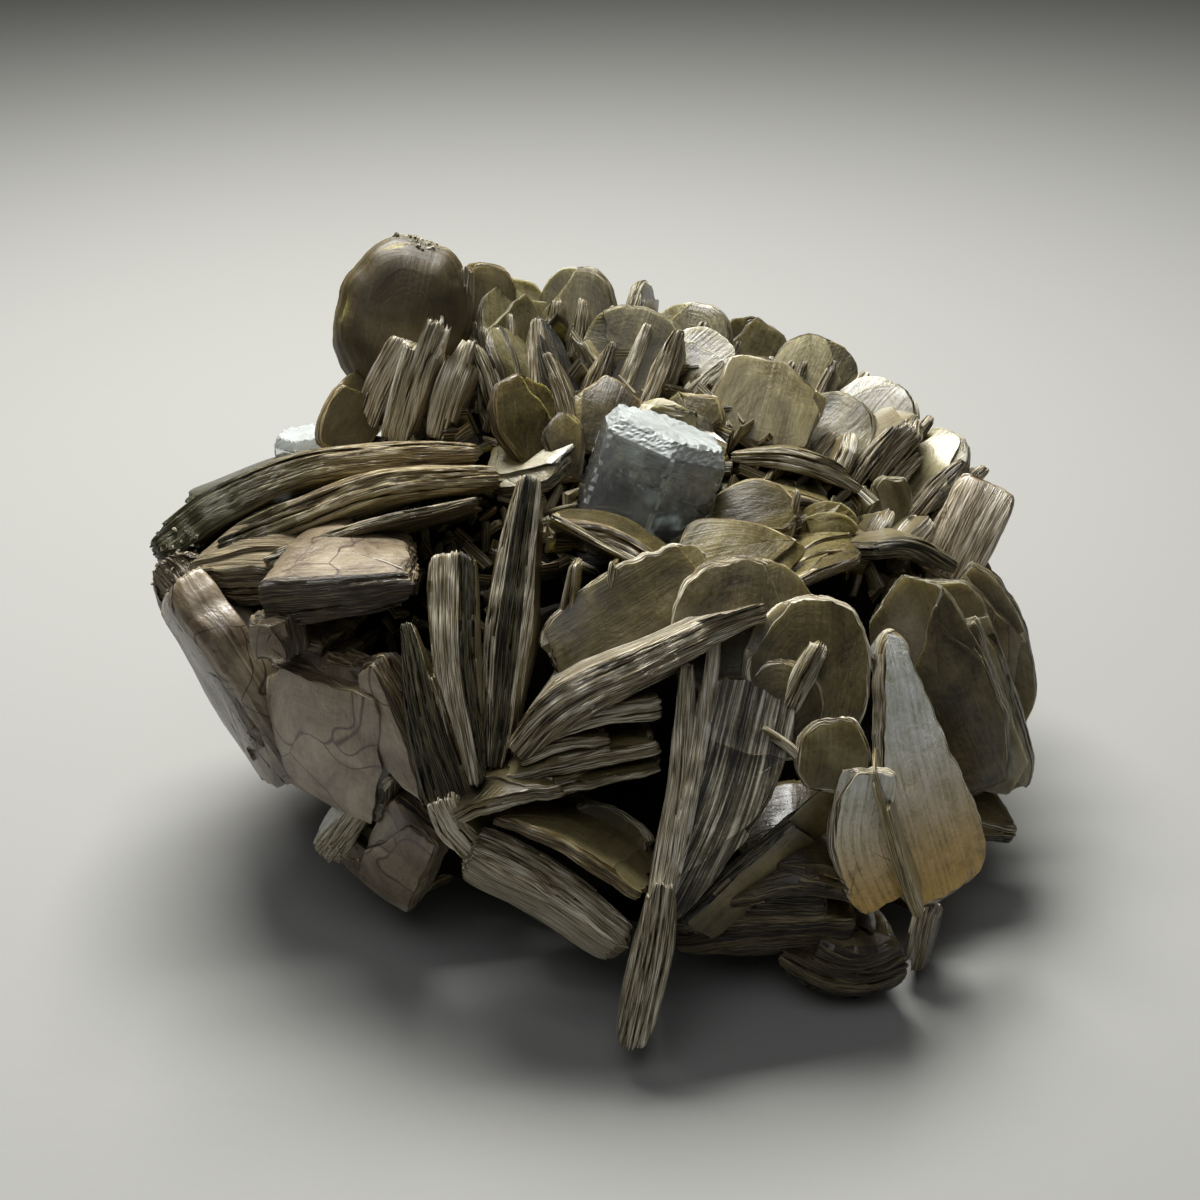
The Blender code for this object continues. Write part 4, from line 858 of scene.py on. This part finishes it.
# ---------------------------------------------------------------- crown of books at the back
# Rounded books standing on edge along the back, and one thick dark book at the left end
# with a comb of pale torn blades before it.
crown_face = cleavage("muscovite_cleavage_pale", "#2b2614", "#6a6240", "#b3ab86", gloss=0.22,
                      glow=0.35, streak=0.14)
knob_face = cleavage("muscovite_cleavage_dark", "#241d10", "#544828", "#8d8158", gloss=0.42,
                     patch=0.07, glow=0.4, own={"Coat Weight": 0.0})
crown_rows = (
    ("knob", ((-23.5, 14, 40.5), (-20.8, 18, 48), (-18.4, 21, 56)),
     (1, 0.1, -0.25), 7.2, 7.2, (8.5, 9, 8), "disc"),
    ("knob_back", ((-14.6, 18, 41), (-13, 22, 47), (-11.6, 25, 52)),
     (0.9, 0.4, -0.2), 4.4, 4, (4, 4, 3), "disc"),
    ("knob_blade", ((-15.6, 15, 45), (-14.6, 17, 49.5), (-14.2, 18.6, 54)),
     (0.2, 0.9, -0.3), 0.4, 4, (1.6, 1.3, 0.7)),
    ("shoulder_a", ((-9.6, 17, 41), (-9.6, 21, 45.4), (-9.8, 24.4, 49.6)),
     (0.85, 0.3, -0.3), 4.7, 4.2, (3, 3, 2.4), "disc"),
    ("shoulder_b", ((-8, 12, 39), (-9, 15.4, 43.4), (-11, 18.6, 47)),
     (0.7, 0.5, -0.1), 4.2, 4.2, (2.4, 2.6, 2), "disc"),
    ("comb_a", ((-25.4, 9.6, 37), (-23, 11, 43), (-20, 12.4, 48.6)),
     (0.1, 0.9, -0.3), 0.6, 7, (2.4, 3.4, 3.6)),
    ("comb_b", ((-21.8, 8.4, 37), (-19.6, 10, 44), (-16.8, 12, 51)),
     (0.1, 0.9, -0.3), 0.6, 7, (3.2, 4.2, 4.4)),
    ("comb_c", ((-17, 8, 38), (-15.4, 10, 43.5), (-13.2, 13, 48.4)),
     (0.1, 0.9, -0.3), 0.6, 7, (2.8, 3.8, 3.8)),
    ("hump", ((-28.4, 7.6, 37), (-26.4, 10.5, 40.6), (-24, 13, 44)),
     (0.8, 0.3, -0.2), 2.6, 4, (3, 3, 2.4), "disc"),
    ("rim_disc", ((1, 17.6, 38.6), (3.6, 21, 43.2), (5.4, 23.6, 47.4)),
     (0.85, -0.25, -0.3), 5.7, 5.9, (3.2, 3.2, 2.8), "disc"),
    ("rim_edge", ((-2.4, 20.6, 45), (0, 18.8, 42), (3.6, 15.6, 38)),
     (0.2, 0.8, -0.1), 0.6, 5, (1.2, 1.6, 1.4)),
    ("crown_a", ((-4, 25, 40), (-2.6, 28, 45.2), (-2, 30.4, 49.8)),
     (0.9, 0.2, -0.2), 4.7, 4.7, (3.4, 3.4, 2.6), "disc"),
    ("crown_b", ((-10.4, 24, 40), (-9.4, 27.4, 44.6), (-9, 29.6, 48.6)),
     (0.8, -0.4, -0.2), 4.2, 4.2, (2.6, 2.6, 2), "disc"),
    ("crown_c", ((3, 25, 40), (4.6, 28.4, 44.4), (5.4, 30.6, 48)),
     (0.7, 0.6, -0.3), 4.5, 4.5, (2.6, 2.6, 2), "disc"),
    ("crown_d", ((8, 26, 37), (10.4, 29.6, 41.6), (12, 32, 45)),
     (0.9, -0.3, -0.2), 5.4, 5.4, (2.8, 2.8, 2.2), "disc"),
    ("crown_e", ((6.4, 19, 37), (10.4, 22.6, 41), (14, 25, 43.6)),
     (0.5, -0.5, -0.5), 4.5, 4.5, (2.6, 2.8, 2.4), "disc"),
    ("back_pale_a", ((15, 27, 33.5), (17.6, 30.6, 38), (20, 33.6, 41.6)),
     (0.9, -0.2, -0.2), 5.9, 5.9, (3, 3, 2.6), "disc"),
    ("back_pale_b", ((22, 25, 32), (24.6, 29, 36.6), (27, 32.4, 40.2)),
     (0.8, -0.5, -0.2), 5.4, 5.4, (3.4, 3.4, 2.6), "disc"),
    ("back_pale_c", ((27.6, 20, 30.5), (31, 23.6, 34.6), (34, 26, 37.4)),
     (0.6, -0.7, 0), 5.2, 5.4, (3.4, 3.4, 2.6), "disc"),
    ("back_pale_d", ((32, 13.6, 28), (36, 16.6, 31.8), (39.6, 18.6, 34.4)),
     (0.4, -0.8, 0.2), 5.2, 5.2, (3, 3.4, 2.6), "disc"),
    ("back_fill_a", ((12, 18, 34), (16, 22, 38), (18, 25, 41)),
     (0.8, -0.5, 0), 5, 5, (4, 4, 3), "disc"),
    ("back_fill_b", ((22, 14, 31), (26, 18, 35), (29, 20, 38)),
     (0.6, -0.6, 0.2), 5, 5, (4, 4, 3), "disc"),
)
# thin sheets that stand on edge beside each round book, a little lower than its top
dice = random.Random(12)
between_rows = []
turned_rows = []
for row in crown_rows:
    name, path, side, *rest = row
    if name.startswith(("crown", "back", "shoulder")):
        turn = Matrix.Rotation(dice.choice((-1, 1)) * dice.uniform(0.3, 0.85), 3, "Z")
        row = (name, path, tuple(turn @ Vector(side)), *rest)
    turned_rows.append(row)
    if name.startswith(("crown", "back", "rim_disc", "shoulder")):
        for k in (-1, 0, 1):
            shift = Vector((k * dice.uniform(2.2, 5), dice.uniform(-6, -2.5), dice.uniform(-3, 0)))
            between_rows.append((
                f"between_{name}_{k}", tuple(tuple(Vector(p) + shift) for p in path),
                (dice.uniform(-0.2, 0.3), 0.87, -0.42), 0.5, dice.uniform(4, 6.5),
                (1.8, dice.uniform(1.6, 3), 1.2), dice.choice(("slab", "slab", "spear"))))
mica_piece("crown_sheets", between_rows, (crown_face, silver_edge), 89, page=0.14,
           step=0.5, side_rag=0.35, end_rag=1.4, breaks=1, slots=(1, 1))
mica_piece("crown_books", turned_rows,
           (crown_face, olive_edge, knob_face, fork_edge, golden_edge, blade_edge), 83,
           page=0.24, side_rag=0.2, end_rag=0.5, breaks=6,
           looks={"knob": {"slots": (2, 2), "page": 0.25, "breaks": 0, "bulge": 3.6, "ends": 4.0,
                           "soft": True},
                  "knob_back": {"slots": (2, 4)}, "hump": {"slots": (2, 4)},
                  "comb_a": {"slots": (5, 5), "page": 0.15, "end_rag": 2.4},
                  "comb_b": {"slots": (5, 3), "page": 0.15, "end_rag": 2.4},
                  "comb_c": {"slots": (5, 3), "page": 0.15, "end_rag": 2.4},
                  "knob_blade": {"slots": (3, 3)}})


# ---------------------------------------------------------------- dark base at the lower right
# The thickest, darkest books, lying nearly flat and showing their curved outer sheets.
base_face = cleavage("muscovite_cleavage_black_brown", "#181208", "#42371f", "#827552", glow=0.3)
base_edge = sheet_edges("muscovite_edges_brown", "#120d06", "#40341c", "#958762")
base_rows = (
    ("base_block", ((6, -33, 7), (14, -33.5, 8.6), (24, -33, 8.6)),
     (0, 1, 0.05), 0.5, 11.6, (5.5, 8.6, 9.6)),
    ("base_round", ((16, -33, 6.6), (22.6, -34.6, 4.2), (28.8, -33, 4.6)),
     (-0.1, 1, 0.1), 1, 13, (5, 7.4, 7)),
    ("base_top", ((9, -34, 12.4), (18, -33.5, 14.4), (26, -32, 11)),
     (0.1, 1, 0.15), 1, 12, (3, 4.4, 3)),
    ("pale_column", ((29.6, -31, 1.6), (30.4, -30, 9)),
     (0.3, 0.9, 0), 0.8, 5, (2.6, 2.6)),
    ("base_right", ((30, -26, 5), (35, -18, 6.4), (37, -9, 7)),
     (-0.9, 0.3, 0.2), 1, 7, (7, 8, 8)),
)
mica_piece("base_books", base_rows, (base_face, base_edge, silver_edge), 97,
           page=0.25, side_rag=0.4, end_rag=1.2, breaks=4, bulge=1.6,
           looks={"pale_column": {"slots": (0, 2)}})


# ---------------------------------------------------------------- root mass and the back
# The grown-together middle of the specimen, and the smaller books that cover its back
# and sides, rooted in it at every height.
core_rings = (
    (0.0, ((30, -10), (28, -24), (17, -28), (3, -25), (-12, -20), (-22, -12),
           (-26, 2), (-20, 16), (-8, 25), (8, 27), (22, 20), (29, 6))),
    (10.0, ((34, -8), (29, -21), (17, -25), (3, -24), (-12, -20), (-25, -14),
            (-30, 2), (-24, 18), (-9, 29), (9, 31), (26, 23), (34, 8))),
    (20.0, ((36, -3), (28, -14), (15, -19), (3, -19), (-10, -15), (-26, -14),
            (-36, -2), (-29, 18), (-10, 31), (10, 34), (30, 27), (37, 10))),
    (29.0, ((32, -2), (22, -8), (13, -12), (3, -14), (-8, -6), (-24, -8),
            (-39, -2), (-29, 15), (-12, 27), (8, 32), (27, 26), (34, 11))),
    (36.0, ((18, 9), (13, 10), (4, 10), (-4, 5), (-10, 5), (-20, 5),
            (-25, 8), (-23, 16), (-13, 26), (6, 31), (18, 27), (22, 17))),
    (42.0, ((8, 20), (5, 19), (0, 18), (-6, 16), (-12, 16), (-18, 15),
            (-21, 16), (-20, 20), (-14, 25), (-2, 29), (5, 29), (9, 25))),
)


def core_reach(angle, height):
    """Distance of the root mass's skin from the z axis, one way at one height."""
    low, high = core_rings[0], core_rings[-1]
    for a, b in zip(core_rings, core_rings[1:]):
        if a[0] <= height <= b[0]:
            low, high = a, b
    t = (height - low[0]) / (high[0] - low[0])
    far = []
    for ring in (low[1], high[1]):
        best = min(ring, key=lambda p: abs(math.remainder(math.atan2(p[1], p[0]) - angle, math.tau)))
        far.append(math.hypot(*best))
    return far[0] + (far[1] - far[0]) * t


def side_books(bands, seed, length, widths, thick, depth, wider):
    """Rows of books round the root mass: height, first and last angle, count in each band."""
    dice = random.Random(seed)
    rows = []
    for height, start, end, count in bands:
        for i in range(count):
            angle = math.radians(start + (end - start) * (i + dice.uniform(0.2, 0.8)) / count)
            reach = core_reach(angle, height) - depth
            out = Vector((math.cos(angle), math.sin(angle), dice.uniform(-0.1, 0.5)))
            out = (Matrix.Rotation(dice.uniform(-0.6, 0.6), 3, "Z") @ out).normalized()
            root = Vector((math.cos(angle) * reach, math.sin(angle) * reach, height))
            far = dice.uniform(*length)
            side = Vector((-math.sin(angle), math.cos(angle), dice.uniform(-1.2, 1.2)))
            width = dice.uniform(*widths) * (wider if height > 30 else 1.0)
            deep = dice.uniform(*thick)
            rows.append((f"side_{height}_{i}", (tuple(root), tuple(root + out * (far + 2))),
                         tuple(side), width, width, (deep * 1.1, deep),
                         dice.choice(("disc", "slab", "disc"))))
    return rows


main_bands = ((7, 8, 195, 7), (16, 10, 200, 8), (25, 14, 180, 8), (32, 35, 165, 6), (37, 50, 150, 5))
mica_piece("back_books", side_books(main_bands, 11, (6.0, 8.5), (4.0, 6.5), (2.2, 4.6), 5, 1.25),
           (olive_face, olive_edge), 101, page=0.25, step=0.7, end_rag=0.7, breaks=4, facets=5)
small_bands = ((3, 0, 230, 15), (10, 0, 235, 17), (17, 5, 235, 18), (23, 10, 200, 16),
               (29, 20, 185, 14), (34, 40, 165, 10))
mica_piece("small_back_books",
           side_books(small_bands, 5, (3.6, 6.0), (2.2, 4.2), (1.2, 2.6), 3.4, 1.2),
           (olive_face, golden_edge), 103, page=0.3, step=0.8, side_rag=0.2, end_rag=0.6, facets=5)


def root_mass():
    """Closed mass through the rings, broken into steps like the books that grow from it."""
    dice = np.random.default_rng(7)
    count, levels, ledge = 120, 70, 5
    heights = np.linspace(0, core_rings[-1][0], levels)
    rings = []
    for _, outline in core_rings:
        rings.append(even_steps(round_corners(np.array(outline, float), 2), count)[0])
    rings = np.array(rings)
    starts = [r[0] for r in core_rings]
    shape = np.stack([[np.interp(heights, starts, rings[:, i, k]) for i in range(count)]
                      for k in (0, 1)], -1).transpose(1, 0, 2)
    middle = shape.mean(1, keepdims=True)
    steps = ripple(dice, levels, count, 2) * 0.5 + np.repeat(
        ripple(dice, levels // ledge, count, 5), ledge, 0) * 1.2
    away = shape - middle
    away /= np.linalg.norm(away, axis=2, keepdims=True)
    shape = shape - away * (steps + 2.2)[:, :, None]
    verts = np.concatenate([np.concatenate([shape, np.broadcast_to(
        heights[:, None, None], (levels, count, 1))], 2).reshape(-1, 3),
        [[*middle[0, 0], 0]], [[*middle[-1, 0], heights[-1]]]])
    verts = clear_of_beryl(verts)
    quads, tris = skin(count, levels)
    angle_uv = verts[:, [0, 2]] + verts[:, [1, 1]] * np.array([1.0, 0.3])
    slots = np.zeros(len(quads) + len(tris), int)
    return (verts, quads, tris, slots, np.zeros(len(slots), bool), angle_uv[quads], angle_uv[tris],
            np.full(len(verts), 0.3), np.concatenate([np.repeat(dice.random(levels), count), [0, 0]]),
            np.zeros(len(verts)))


# near-black colour with faint shine: painted shade, so the root mass and the gaps between the books read
# as deep hollows
root_painted_shade = sheet_edges("muscovite_root_dark", "#040302", "#0d0a05", "#231d10", shine=0.7,
                        own={"Specular IOR Level": 0.08})
mass = part_of_cluster(piece_from("root_mass", [root_mass()], (root_painted_shade,)))
# books deep between the front blades, below the hollow under the arch, coloured near black as painted
# shade
inner_rows = (
    ("inner_left", ((-14, -23, 6), (-13.4, -19, 16), (-13, -15, 25)),
     (1, 0.1, 0), 7, 7, (6, 6, 4)),
    ("inner_mid", ((0, -25, 6), (0, -19, 18), (0, -11, 31)), (1, 0, 0), 8.6, 8, (6, 6, 5)),
    ("inner_right", ((14, -25, 6), (14, -19, 18), (14, -12, 29)), (1, 0, 0), 8, 7, (6, 6, 5)),
)
mica_piece("inner_books", inner_rows, (root_painted_shade, root_painted_shade), 105, page=0.4, step=0.8,
           side_rag=0.4, end_rag=1.0, breaks=2)


# ---------------------------------------------------------------- small plates between the books
# Young books a few millimetres long, grown on the root mass wherever there was room, on
# edge and leaning every way; they close the back, the sides and the gaps in the crown.

def plate_grower():
    """Tree that stands copies of a plate on a surface, each turned and sized by chance."""
    tree = bpy.data.node_groups.new("plates_on_surface", "GeometryNodeTree")
    way = tree.interface
    way.new_socket("Geometry", in_out="INPUT", socket_type="NodeSocketGeometry")
    for label, kind in (("Plate", "Object"), ("Spacing", "Float"), ("Density", "Float"),
                        ("Smallest", "Float"), ("Largest", "Float"), ("Lean", "Float"),
                        ("Seed", "Int"), ("Face finish", "Material"), ("Edge finish", "Material")):
        way.new_socket(label, in_out="INPUT", socket_type="NodeSocket" + kind)
    way.new_socket("Geometry", in_out="OUTPUT", socket_type="NodeSocketGeometry")
    given = node(tree, "NodeGroupInput").outputs
    spread = node(tree, "GeometryNodeDistributePointsOnFaces", {
        "Mesh": given["Geometry"], "Distance Min": given["Spacing"],
        "Density Max": given["Density"], "Seed": given["Seed"]}, distribute_method="POISSON")
    back = node(tree, "ShaderNodeMath", {0: given["Lean"], 1: -1.0}, operation="MULTIPLY")
    least = node(tree, "ShaderNodeCombineXYZ", {0: back.outputs[0], 1: back.outputs[0], 2: 0.0})
    most = node(tree, "ShaderNodeCombineXYZ", {0: given["Lean"], 1: given["Lean"], 2: math.tau})
    turn = node(tree, "FunctionNodeRandomValue", {
        0: least.outputs[0], 1: most.outputs[0], "Seed": given["Seed"]}, data_type="FLOAT_VECTOR")
    lean = node(tree, "FunctionNodeEulerToRotation", {"Euler": turn.outputs[0]})
    stand = node(tree, "FunctionNodeRotateRotation", {
        "Rotation": spread.outputs["Rotation"], "Rotate By": lean.outputs[0]}, rotation_space="LOCAL")
    size = node(tree, "FunctionNodeRandomValue", {
        2: given["Smallest"], 3: given["Largest"], "Seed": given["Seed"]}, data_type="FLOAT")
    plate = node(tree, "GeometryNodeObjectInfo", {"Object": given["Plate"], "As Instance": True})
    copies = node(tree, "GeometryNodeInstanceOnPoints", {
        "Points": spread.outputs["Points"], "Instance": plate.outputs["Geometry"],
        "Rotation": stand.outputs[0], "Scale": size.outputs[1]})
    shade = node(tree, "FunctionNodeRandomValue", {"Seed": given["Seed"]}, data_type="FLOAT")
    toned = node(tree, "GeometryNodeStoreNamedAttribute", {
        "Geometry": copies.outputs["Instances"], "Name": "tone", "Value": shade.outputs[1]},
        data_type="FLOAT", domain="INSTANCE")
    real = node(tree, "GeometryNodeRealizeInstances", {"Geometry": toned.outputs["Geometry"]})
    faced = node(tree, "GeometryNodeSetMaterial", {
        "Geometry": real.outputs["Geometry"], "Material": given["Face finish"]})
    rim = node(tree, "GeometryNodeInputNamedAttribute", {"Name": "rim"}, data_type="BOOLEAN")
    edged = node(tree, "GeometryNodeSetMaterial", {
        "Geometry": faced.outputs["Geometry"], "Selection": rim.outputs[0],
        "Material": given["Edge finish"]})
    node(tree, "NodeGroupOutput", {"Geometry": edged.outputs["Geometry"]})
    return tree


def small_plate(width, length, thick, seed):
    """A few-sided plate that stands on the origin: mesh object, rooted a little below it."""
    dice = np.random.default_rng(seed)
    corners = np.array(((-0.5, -0.3), (0.5, -0.3), (0.62, 0.35), (0.5, 0.75), (0.2, 1.0), (-0.25, 0.94),
                        (-0.55, 0.6), (-0.6, 0.2)))
    outline = (corners + dice.uniform(-0.09, 0.09, corners.shape)) * (width, length)
    middle = outline.mean(0)
    count = len(outline)
    levels = ((-1.0, 0.86), (-0.3, 1.0), (0.3, 0.96), (1.0, 0.80))
    rings = [np.insert(middle + (outline - middle) * share, 1, at * thick / 2, axis=1)
             for at, share in levels]
    points = np.concatenate(rings + [[[middle[0], -thick / 2, middle[1]],
                                      [middle[0], thick / 2, middle[1]]]])
    quads, tris = skin(count, len(levels))
    faces = len(quads) + len(tris)
    i = np.arange(count)
    run = np.tile(np.stack([i, i + 1, i + 1, i], 1) * width * 0.4, (len(levels) - 1, 1))
    leaf = np.concatenate([np.repeat(dice.random(len(levels)), count), dice.random(2)])
    zone = np.concatenate([np.full(len(levels) * count, width * 0.6), [0, 0]])
    piece = piece_from("small_plate", [(
        points, quads, tris, np.zeros(faces, int), np.zeros(faces, bool),
        np.stack([run, points[quads][:, :, 1]], -1), points[tris][:, :, [0, 2]],
        np.full(len(points), 0.5), leaf, zone)], ())
    rim = piece.data.attributes.new("rim", "BOOLEAN", "FACE")
    rim.data.foreach_set("value", np.arange(faces) < len(quads))
    return piece


def vectors_of(items, key):
    """Three numbers for each of a mesh's points or faces."""
    values = np.empty(len(items) * 3)
    items.foreach_get(key, values)
    return values.reshape(-1, 3)


def surface_of(piece, wanted):
    """A copy of a piece's mesh that holds only the faces whose middles, in mm, are wanted."""
    keep = wanted(*(vectors_of(piece.data.polygons, "center").T / MM))
    mesh = bpy.data.meshes.new("surface")
    mesh.from_pydata(vectors_of(piece.data.vertices, "co").tolist(), [],
                     [tuple(f.vertices) for f, k in zip(piece.data.polygons, keep) if k])
    return placed("surface", mesh)


def grow_on(name, surface, plate, **sizes):
    """Grow plates on a surface and take the result as a plain mesh; both helpers go."""
    holder = surface.modifiers.new("plates", "NODES")
    holder.node_group = plates_tree
    for item in plates_tree.interface.items_tree:
        if item.in_out == "INPUT" and item.name != "Geometry":
            holder[item.identifier] = plate if item.name == "Plate" else sizes[item.name.replace(" ", "_")]
    bpy.context.view_layer.update()
    ready = surface.evaluated_get(bpy.context.evaluated_depsgraph_get())
    mesh = bpy.data.meshes.new_from_object(ready)
    surface.modifiers.clear()
    bpy.data.objects.remove(surface)
    bpy.data.objects.remove(plate)
    points = vectors_of(mesh.vertices, "co") / MM
    points[:, 2] = np.maximum(points[:, 2], 0)
    mesh.vertices.foreach_set("co", (clear_of_beryl(points) * MM).ravel())
    part_of_cluster(placed(name, mesh))


def round_the_back(x, y, z):
    """Skin of the root mass from the right side round the back to the left side."""
    angle = np.degrees(np.arctan2(y, x))
    return (((angle > -8) | (angle < -140)) & (z > 0.5)) | ((z > 34) & (y > 9))


plates_tree = plate_grower()
for name, width, length, thick, seed, face, edge in (
        ("young_plates_olive", 3.4, 5.6, 1.0, 1, olive_face, silver_edge),
        ("young_plates_brown", 2.8, 6.4, 0.8, 2, crown_face, olive_edge),
        ("young_blades", 1.8, 6.8, 0.7, 3, olive_edge, golden_edge)):
    grow_on(name, surface_of(mass, round_the_back), small_plate(width, length, thick, seed),
            Spacing=2.5 * MM, Density=4e5, Smallest=0.6, Largest=1.15, Lean=0.55, Seed=seed,
            Face_finish=face, Edge_finish=edge)


def near(a, b, c, radius):
    """Picks the faces that lie within a radius of a place, in mm."""
    return lambda x, y, z: (x - a) ** 2 + (y - b) ** 2 + (z - c) ** 2 < radius * radius


# pale crumbs on the worn ends: the piece they lie on, where, plate width and length, spacing
for name, source, spot, width, length, spacing, seed, face in (
        ("knob_crumbs", "crown_books", (-18.6, 21, 58.4, 3.8), 0.3, 0.3, 0.34, 21, blade_edge),
        ("blade_crumbs", "left_faces", (-26, -23, 8, 3), 0.26, 0.24, 0.5, 23, blade_edge),
        ("tip_crumbs", "arch_books", (-43, -7, 32, 4.5), 0.3, 0.35, 0.7, 24, grey_edge)):
    grow_on(name, surface_of(bpy.data.objects[source], near(*spot)),
            small_plate(width, length, 0.3, seed),
            Spacing=spacing * MM, Density=3e6, Smallest=0.5, Largest=1.3, Lean=1.2, Seed=seed,
            Face_finish=face, Edge_finish=fork_edge)


# ---------------------------------------------------------------- beryl crystals
# Aquamarine, a clear pale blue-green beryl: a short six-sided prism, glassy on its sides,
# etched white round its top, with healed cracks inside that catch the light.

def crystal_mesh(name, seed, frost):
    """The prism with chipped corners, an etched top band and an uneven top face."""
    base, stand, half, length, turn = beryls[name]
    dice = np.random.default_rng(seed)
    # points in a ring, rings below the etched band and on it, and the height of the band
    count, side_rings, band_rings = 144, 26, 8
    band = 1.8 * length / 13.4
    # as shares of the half width: how far the band draws in, its pits, the chips of the corners
    taper, pit, chip = 0.14, 0.022, 0.10
    heights = np.concatenate([np.linspace(0, length - band, side_rings),
                              np.linspace(length - band, length, band_rings + 1)[1:]])
    angle = np.arange(count) * math.tau / count
    side = np.mod(angle - math.radians(turn), math.pi / 3) - math.pi / 6
    radius = np.minimum(half * math.cos(math.pi / 6) / np.cos(side), half * 0.985)
    levels = len(heights)
    above = np.clip((heights - (length - band)) / band, 0, 1)
    share = 1 - taper * above
    rough = ripple(dice, levels, count, 1.6) - 0.5
    pits = pit * half * (above > 0)
    corner = np.exp(-((np.abs(side) - math.pi / 6) / 0.06) ** 2)
    chips = np.maximum(ripple(dice, levels, count, 2.5) - 0.55, 0) * half * chip * corner
    ring_r = radius[None] * share[:, None] - chips + rough * pits[:, None]
    rings = np.stack([ring_r * np.cos(angle), ring_r * np.sin(angle),
                      np.repeat(heights[:, None], count, 1)], -1)
    rings[-1, :, 2] += (ripple(dice, 1, count, 3)[0] - 0.6) * frost
    top = []
    for c in (0.93, 0.8, 0.62, 0.42, 0.2):
        ring = rings[-1] * np.array([c, c, 1])
        ring[:, 2] = length + (ripple(dice, 1, count, 5)[0] - 0.5) * frost * 0.7 * c
        top.append(ring)
    rings = np.concatenate([rings, top])
    points = np.concatenate([rings.reshape(-1, 3), [[0, 0, 0], [0, 0, length]]])
    points = points @ crystal_axes(stand) + np.array(base)
    total = len(rings)
    quads, tris = skin(count, total)
    # frosted: the band, the top and the rooted end, and a broken line along each upright edge
    worn = (ripple(dice, total - 1, count, 1.5) > 0.45) & (np.abs(side) > math.pi / 6 - 0.05)
    worn |= np.arange(total - 1)[:, None] >= side_rings
    etched = np.concatenate([worn.ravel(), np.full(count * 2, True)]).astype(int)
    flat = np.zeros(len(etched), bool)
    uv = points[:, [0, 2]]
    return (points, quads, tris, etched, flat, uv[quads], uv[tris],
            *np.zeros((3, len(points))))


beryl_ior = 1.577
# clear beryl, faintly blue-green: most light goes through, a little is scattered
glassy, tree, shader = material("aquamarine_prism_faces")
etch = noise(tree, object_place(tree), 260.0, 3.0)["Fac"]
feed(tree, shader, {
    "Base Color": linear("#f4fcfb"), "IOR": beryl_ior, "Transmission Weight": 0.92, "Roughness": 0.01,
    "Subsurface Weight": 1.0, "Subsurface Radius": (1.0, 1.0, 1.0), "Subsurface Scale": 10 * MM,
    "Normal": bump(tree, etch, 0.4, 0.35)})

etched, tree, shader = material("aquamarine_etched_top")
frost = noise(tree, object_place(tree), 900.0, 8.0, Roughness=0.75)["Fac"]
feed(tree, shader, {
    "Base Color": linear("#f1f8f6"), "IOR": beryl_ior, "Transmission Weight": 0.5, "Roughness": 0.28,
    "Normal": bump(tree, frost, 0.25, 0.8)})

# films of air that mirror the light inside the crystal
veil, tree, shader = material("aquamarine_healed_cracks")
spots = noise(tree, object_place(tree), 700.0, 6.0)["Fac"]
feed(tree, shader, {
    "Base Color": linear("#f2faf9"), "Metallic": 1.0, "Roughness": 0.2,
    "Alpha": share_of(tree, spots, 0.42, 0.66, 0.05, 0.6)})


def veil_sheet(name, centre, tilt, size, dice):
    """A thin wavy sheet inside a crystal; centre, tilt and size in the crystal's own axes."""
    base, stand, half, length, _ = beryls[name]
    n = 24
    a, b = np.meshgrid(np.linspace(-1, 1, n), np.linspace(-1, 1, n), indexing="ij")
    bump = sum(dice.uniform(-0.16, 0.16) * np.sin(a * dice.uniform(1, 5) + b * dice.uniform(1, 5))
               for _ in range(5))
    turn_by = np.array(Matrix.Rotation(tilt[0], 3, "X") @ Matrix.Rotation(tilt[1], 3, "Z"))
    local = np.stack([a * size[0], bump, b * size[1]], -1).reshape(-1, 3) @ turn_by.T
    local += np.array(centre)
    keep = half * 0.78 / np.maximum(np.linalg.norm(local[:, :2], axis=1), half * 0.78)
    local[:, :2] *= keep[:, None]
    local[:, 2] = np.clip(local[:, 2], 0.8, length - 0.8)
    points = local @ crystal_axes(stand) + np.array(base)
    k = np.arange((n - 1) * n).reshape(n - 1, n)[:, :-1].ravel()
    return points, np.stack([k, k + 1, k + n + 1, k + n], 1)


dice = np.random.default_rng(19)
sheets = [veil_sheet("aquamarine", *spec, dice) for spec in (
    ((-1.5, -2.0, 7.5), (0.25, 0.5), (4.0, 3.6)), ((2.2, 0.6, 8.4), (-0.3, 1.4), (3.4, 3.2)),
    ((0.2, 2.2, 7.0), (0.5, 2.3), (4.4, 4.0)), ((0.0, 0.0, 4.0), (1.45, 0.0), (4.6, 4.6)),
    ((-2.4, 1.4, 9.0), (0.1, 2.9), (2.2, 2.0)), ((2.6, -3.0, 5.0), (0.4, 0.2), (3.0, 3.6)),
    ((-3.6, 0.4, 5.4), (-0.2, 1.1), (3.0, 4.0)), ((0.8, -1.2, 10.4), (1.2, 0.4), (3.8, 2.4)))]
points = np.concatenate([p for p, _ in sheets]) * MM
faces = np.concatenate([f + k * len(sheets[0][0]) for k, (_, f) in enumerate(sheets)])
cracks_mesh = bpy.data.meshes.new("aquamarine_veils")
cracks_mesh.from_pydata(points.tolist(), [], faces.tolist())
cracks_mesh.materials.append(veil)
cracks_mesh.shade_smooth()
cracks = placed("aquamarine_veils", cracks_mesh)
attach(cracks, "root")

for name, seed, frost in (("aquamarine", 3, 0.55), ("small_beryl", 4, 0.3)):
    crystal = piece_from(name + "_crystal", [crystal_mesh(name, seed, frost)], (glassy, etched))
    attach(crystal, "root")
    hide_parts(name)
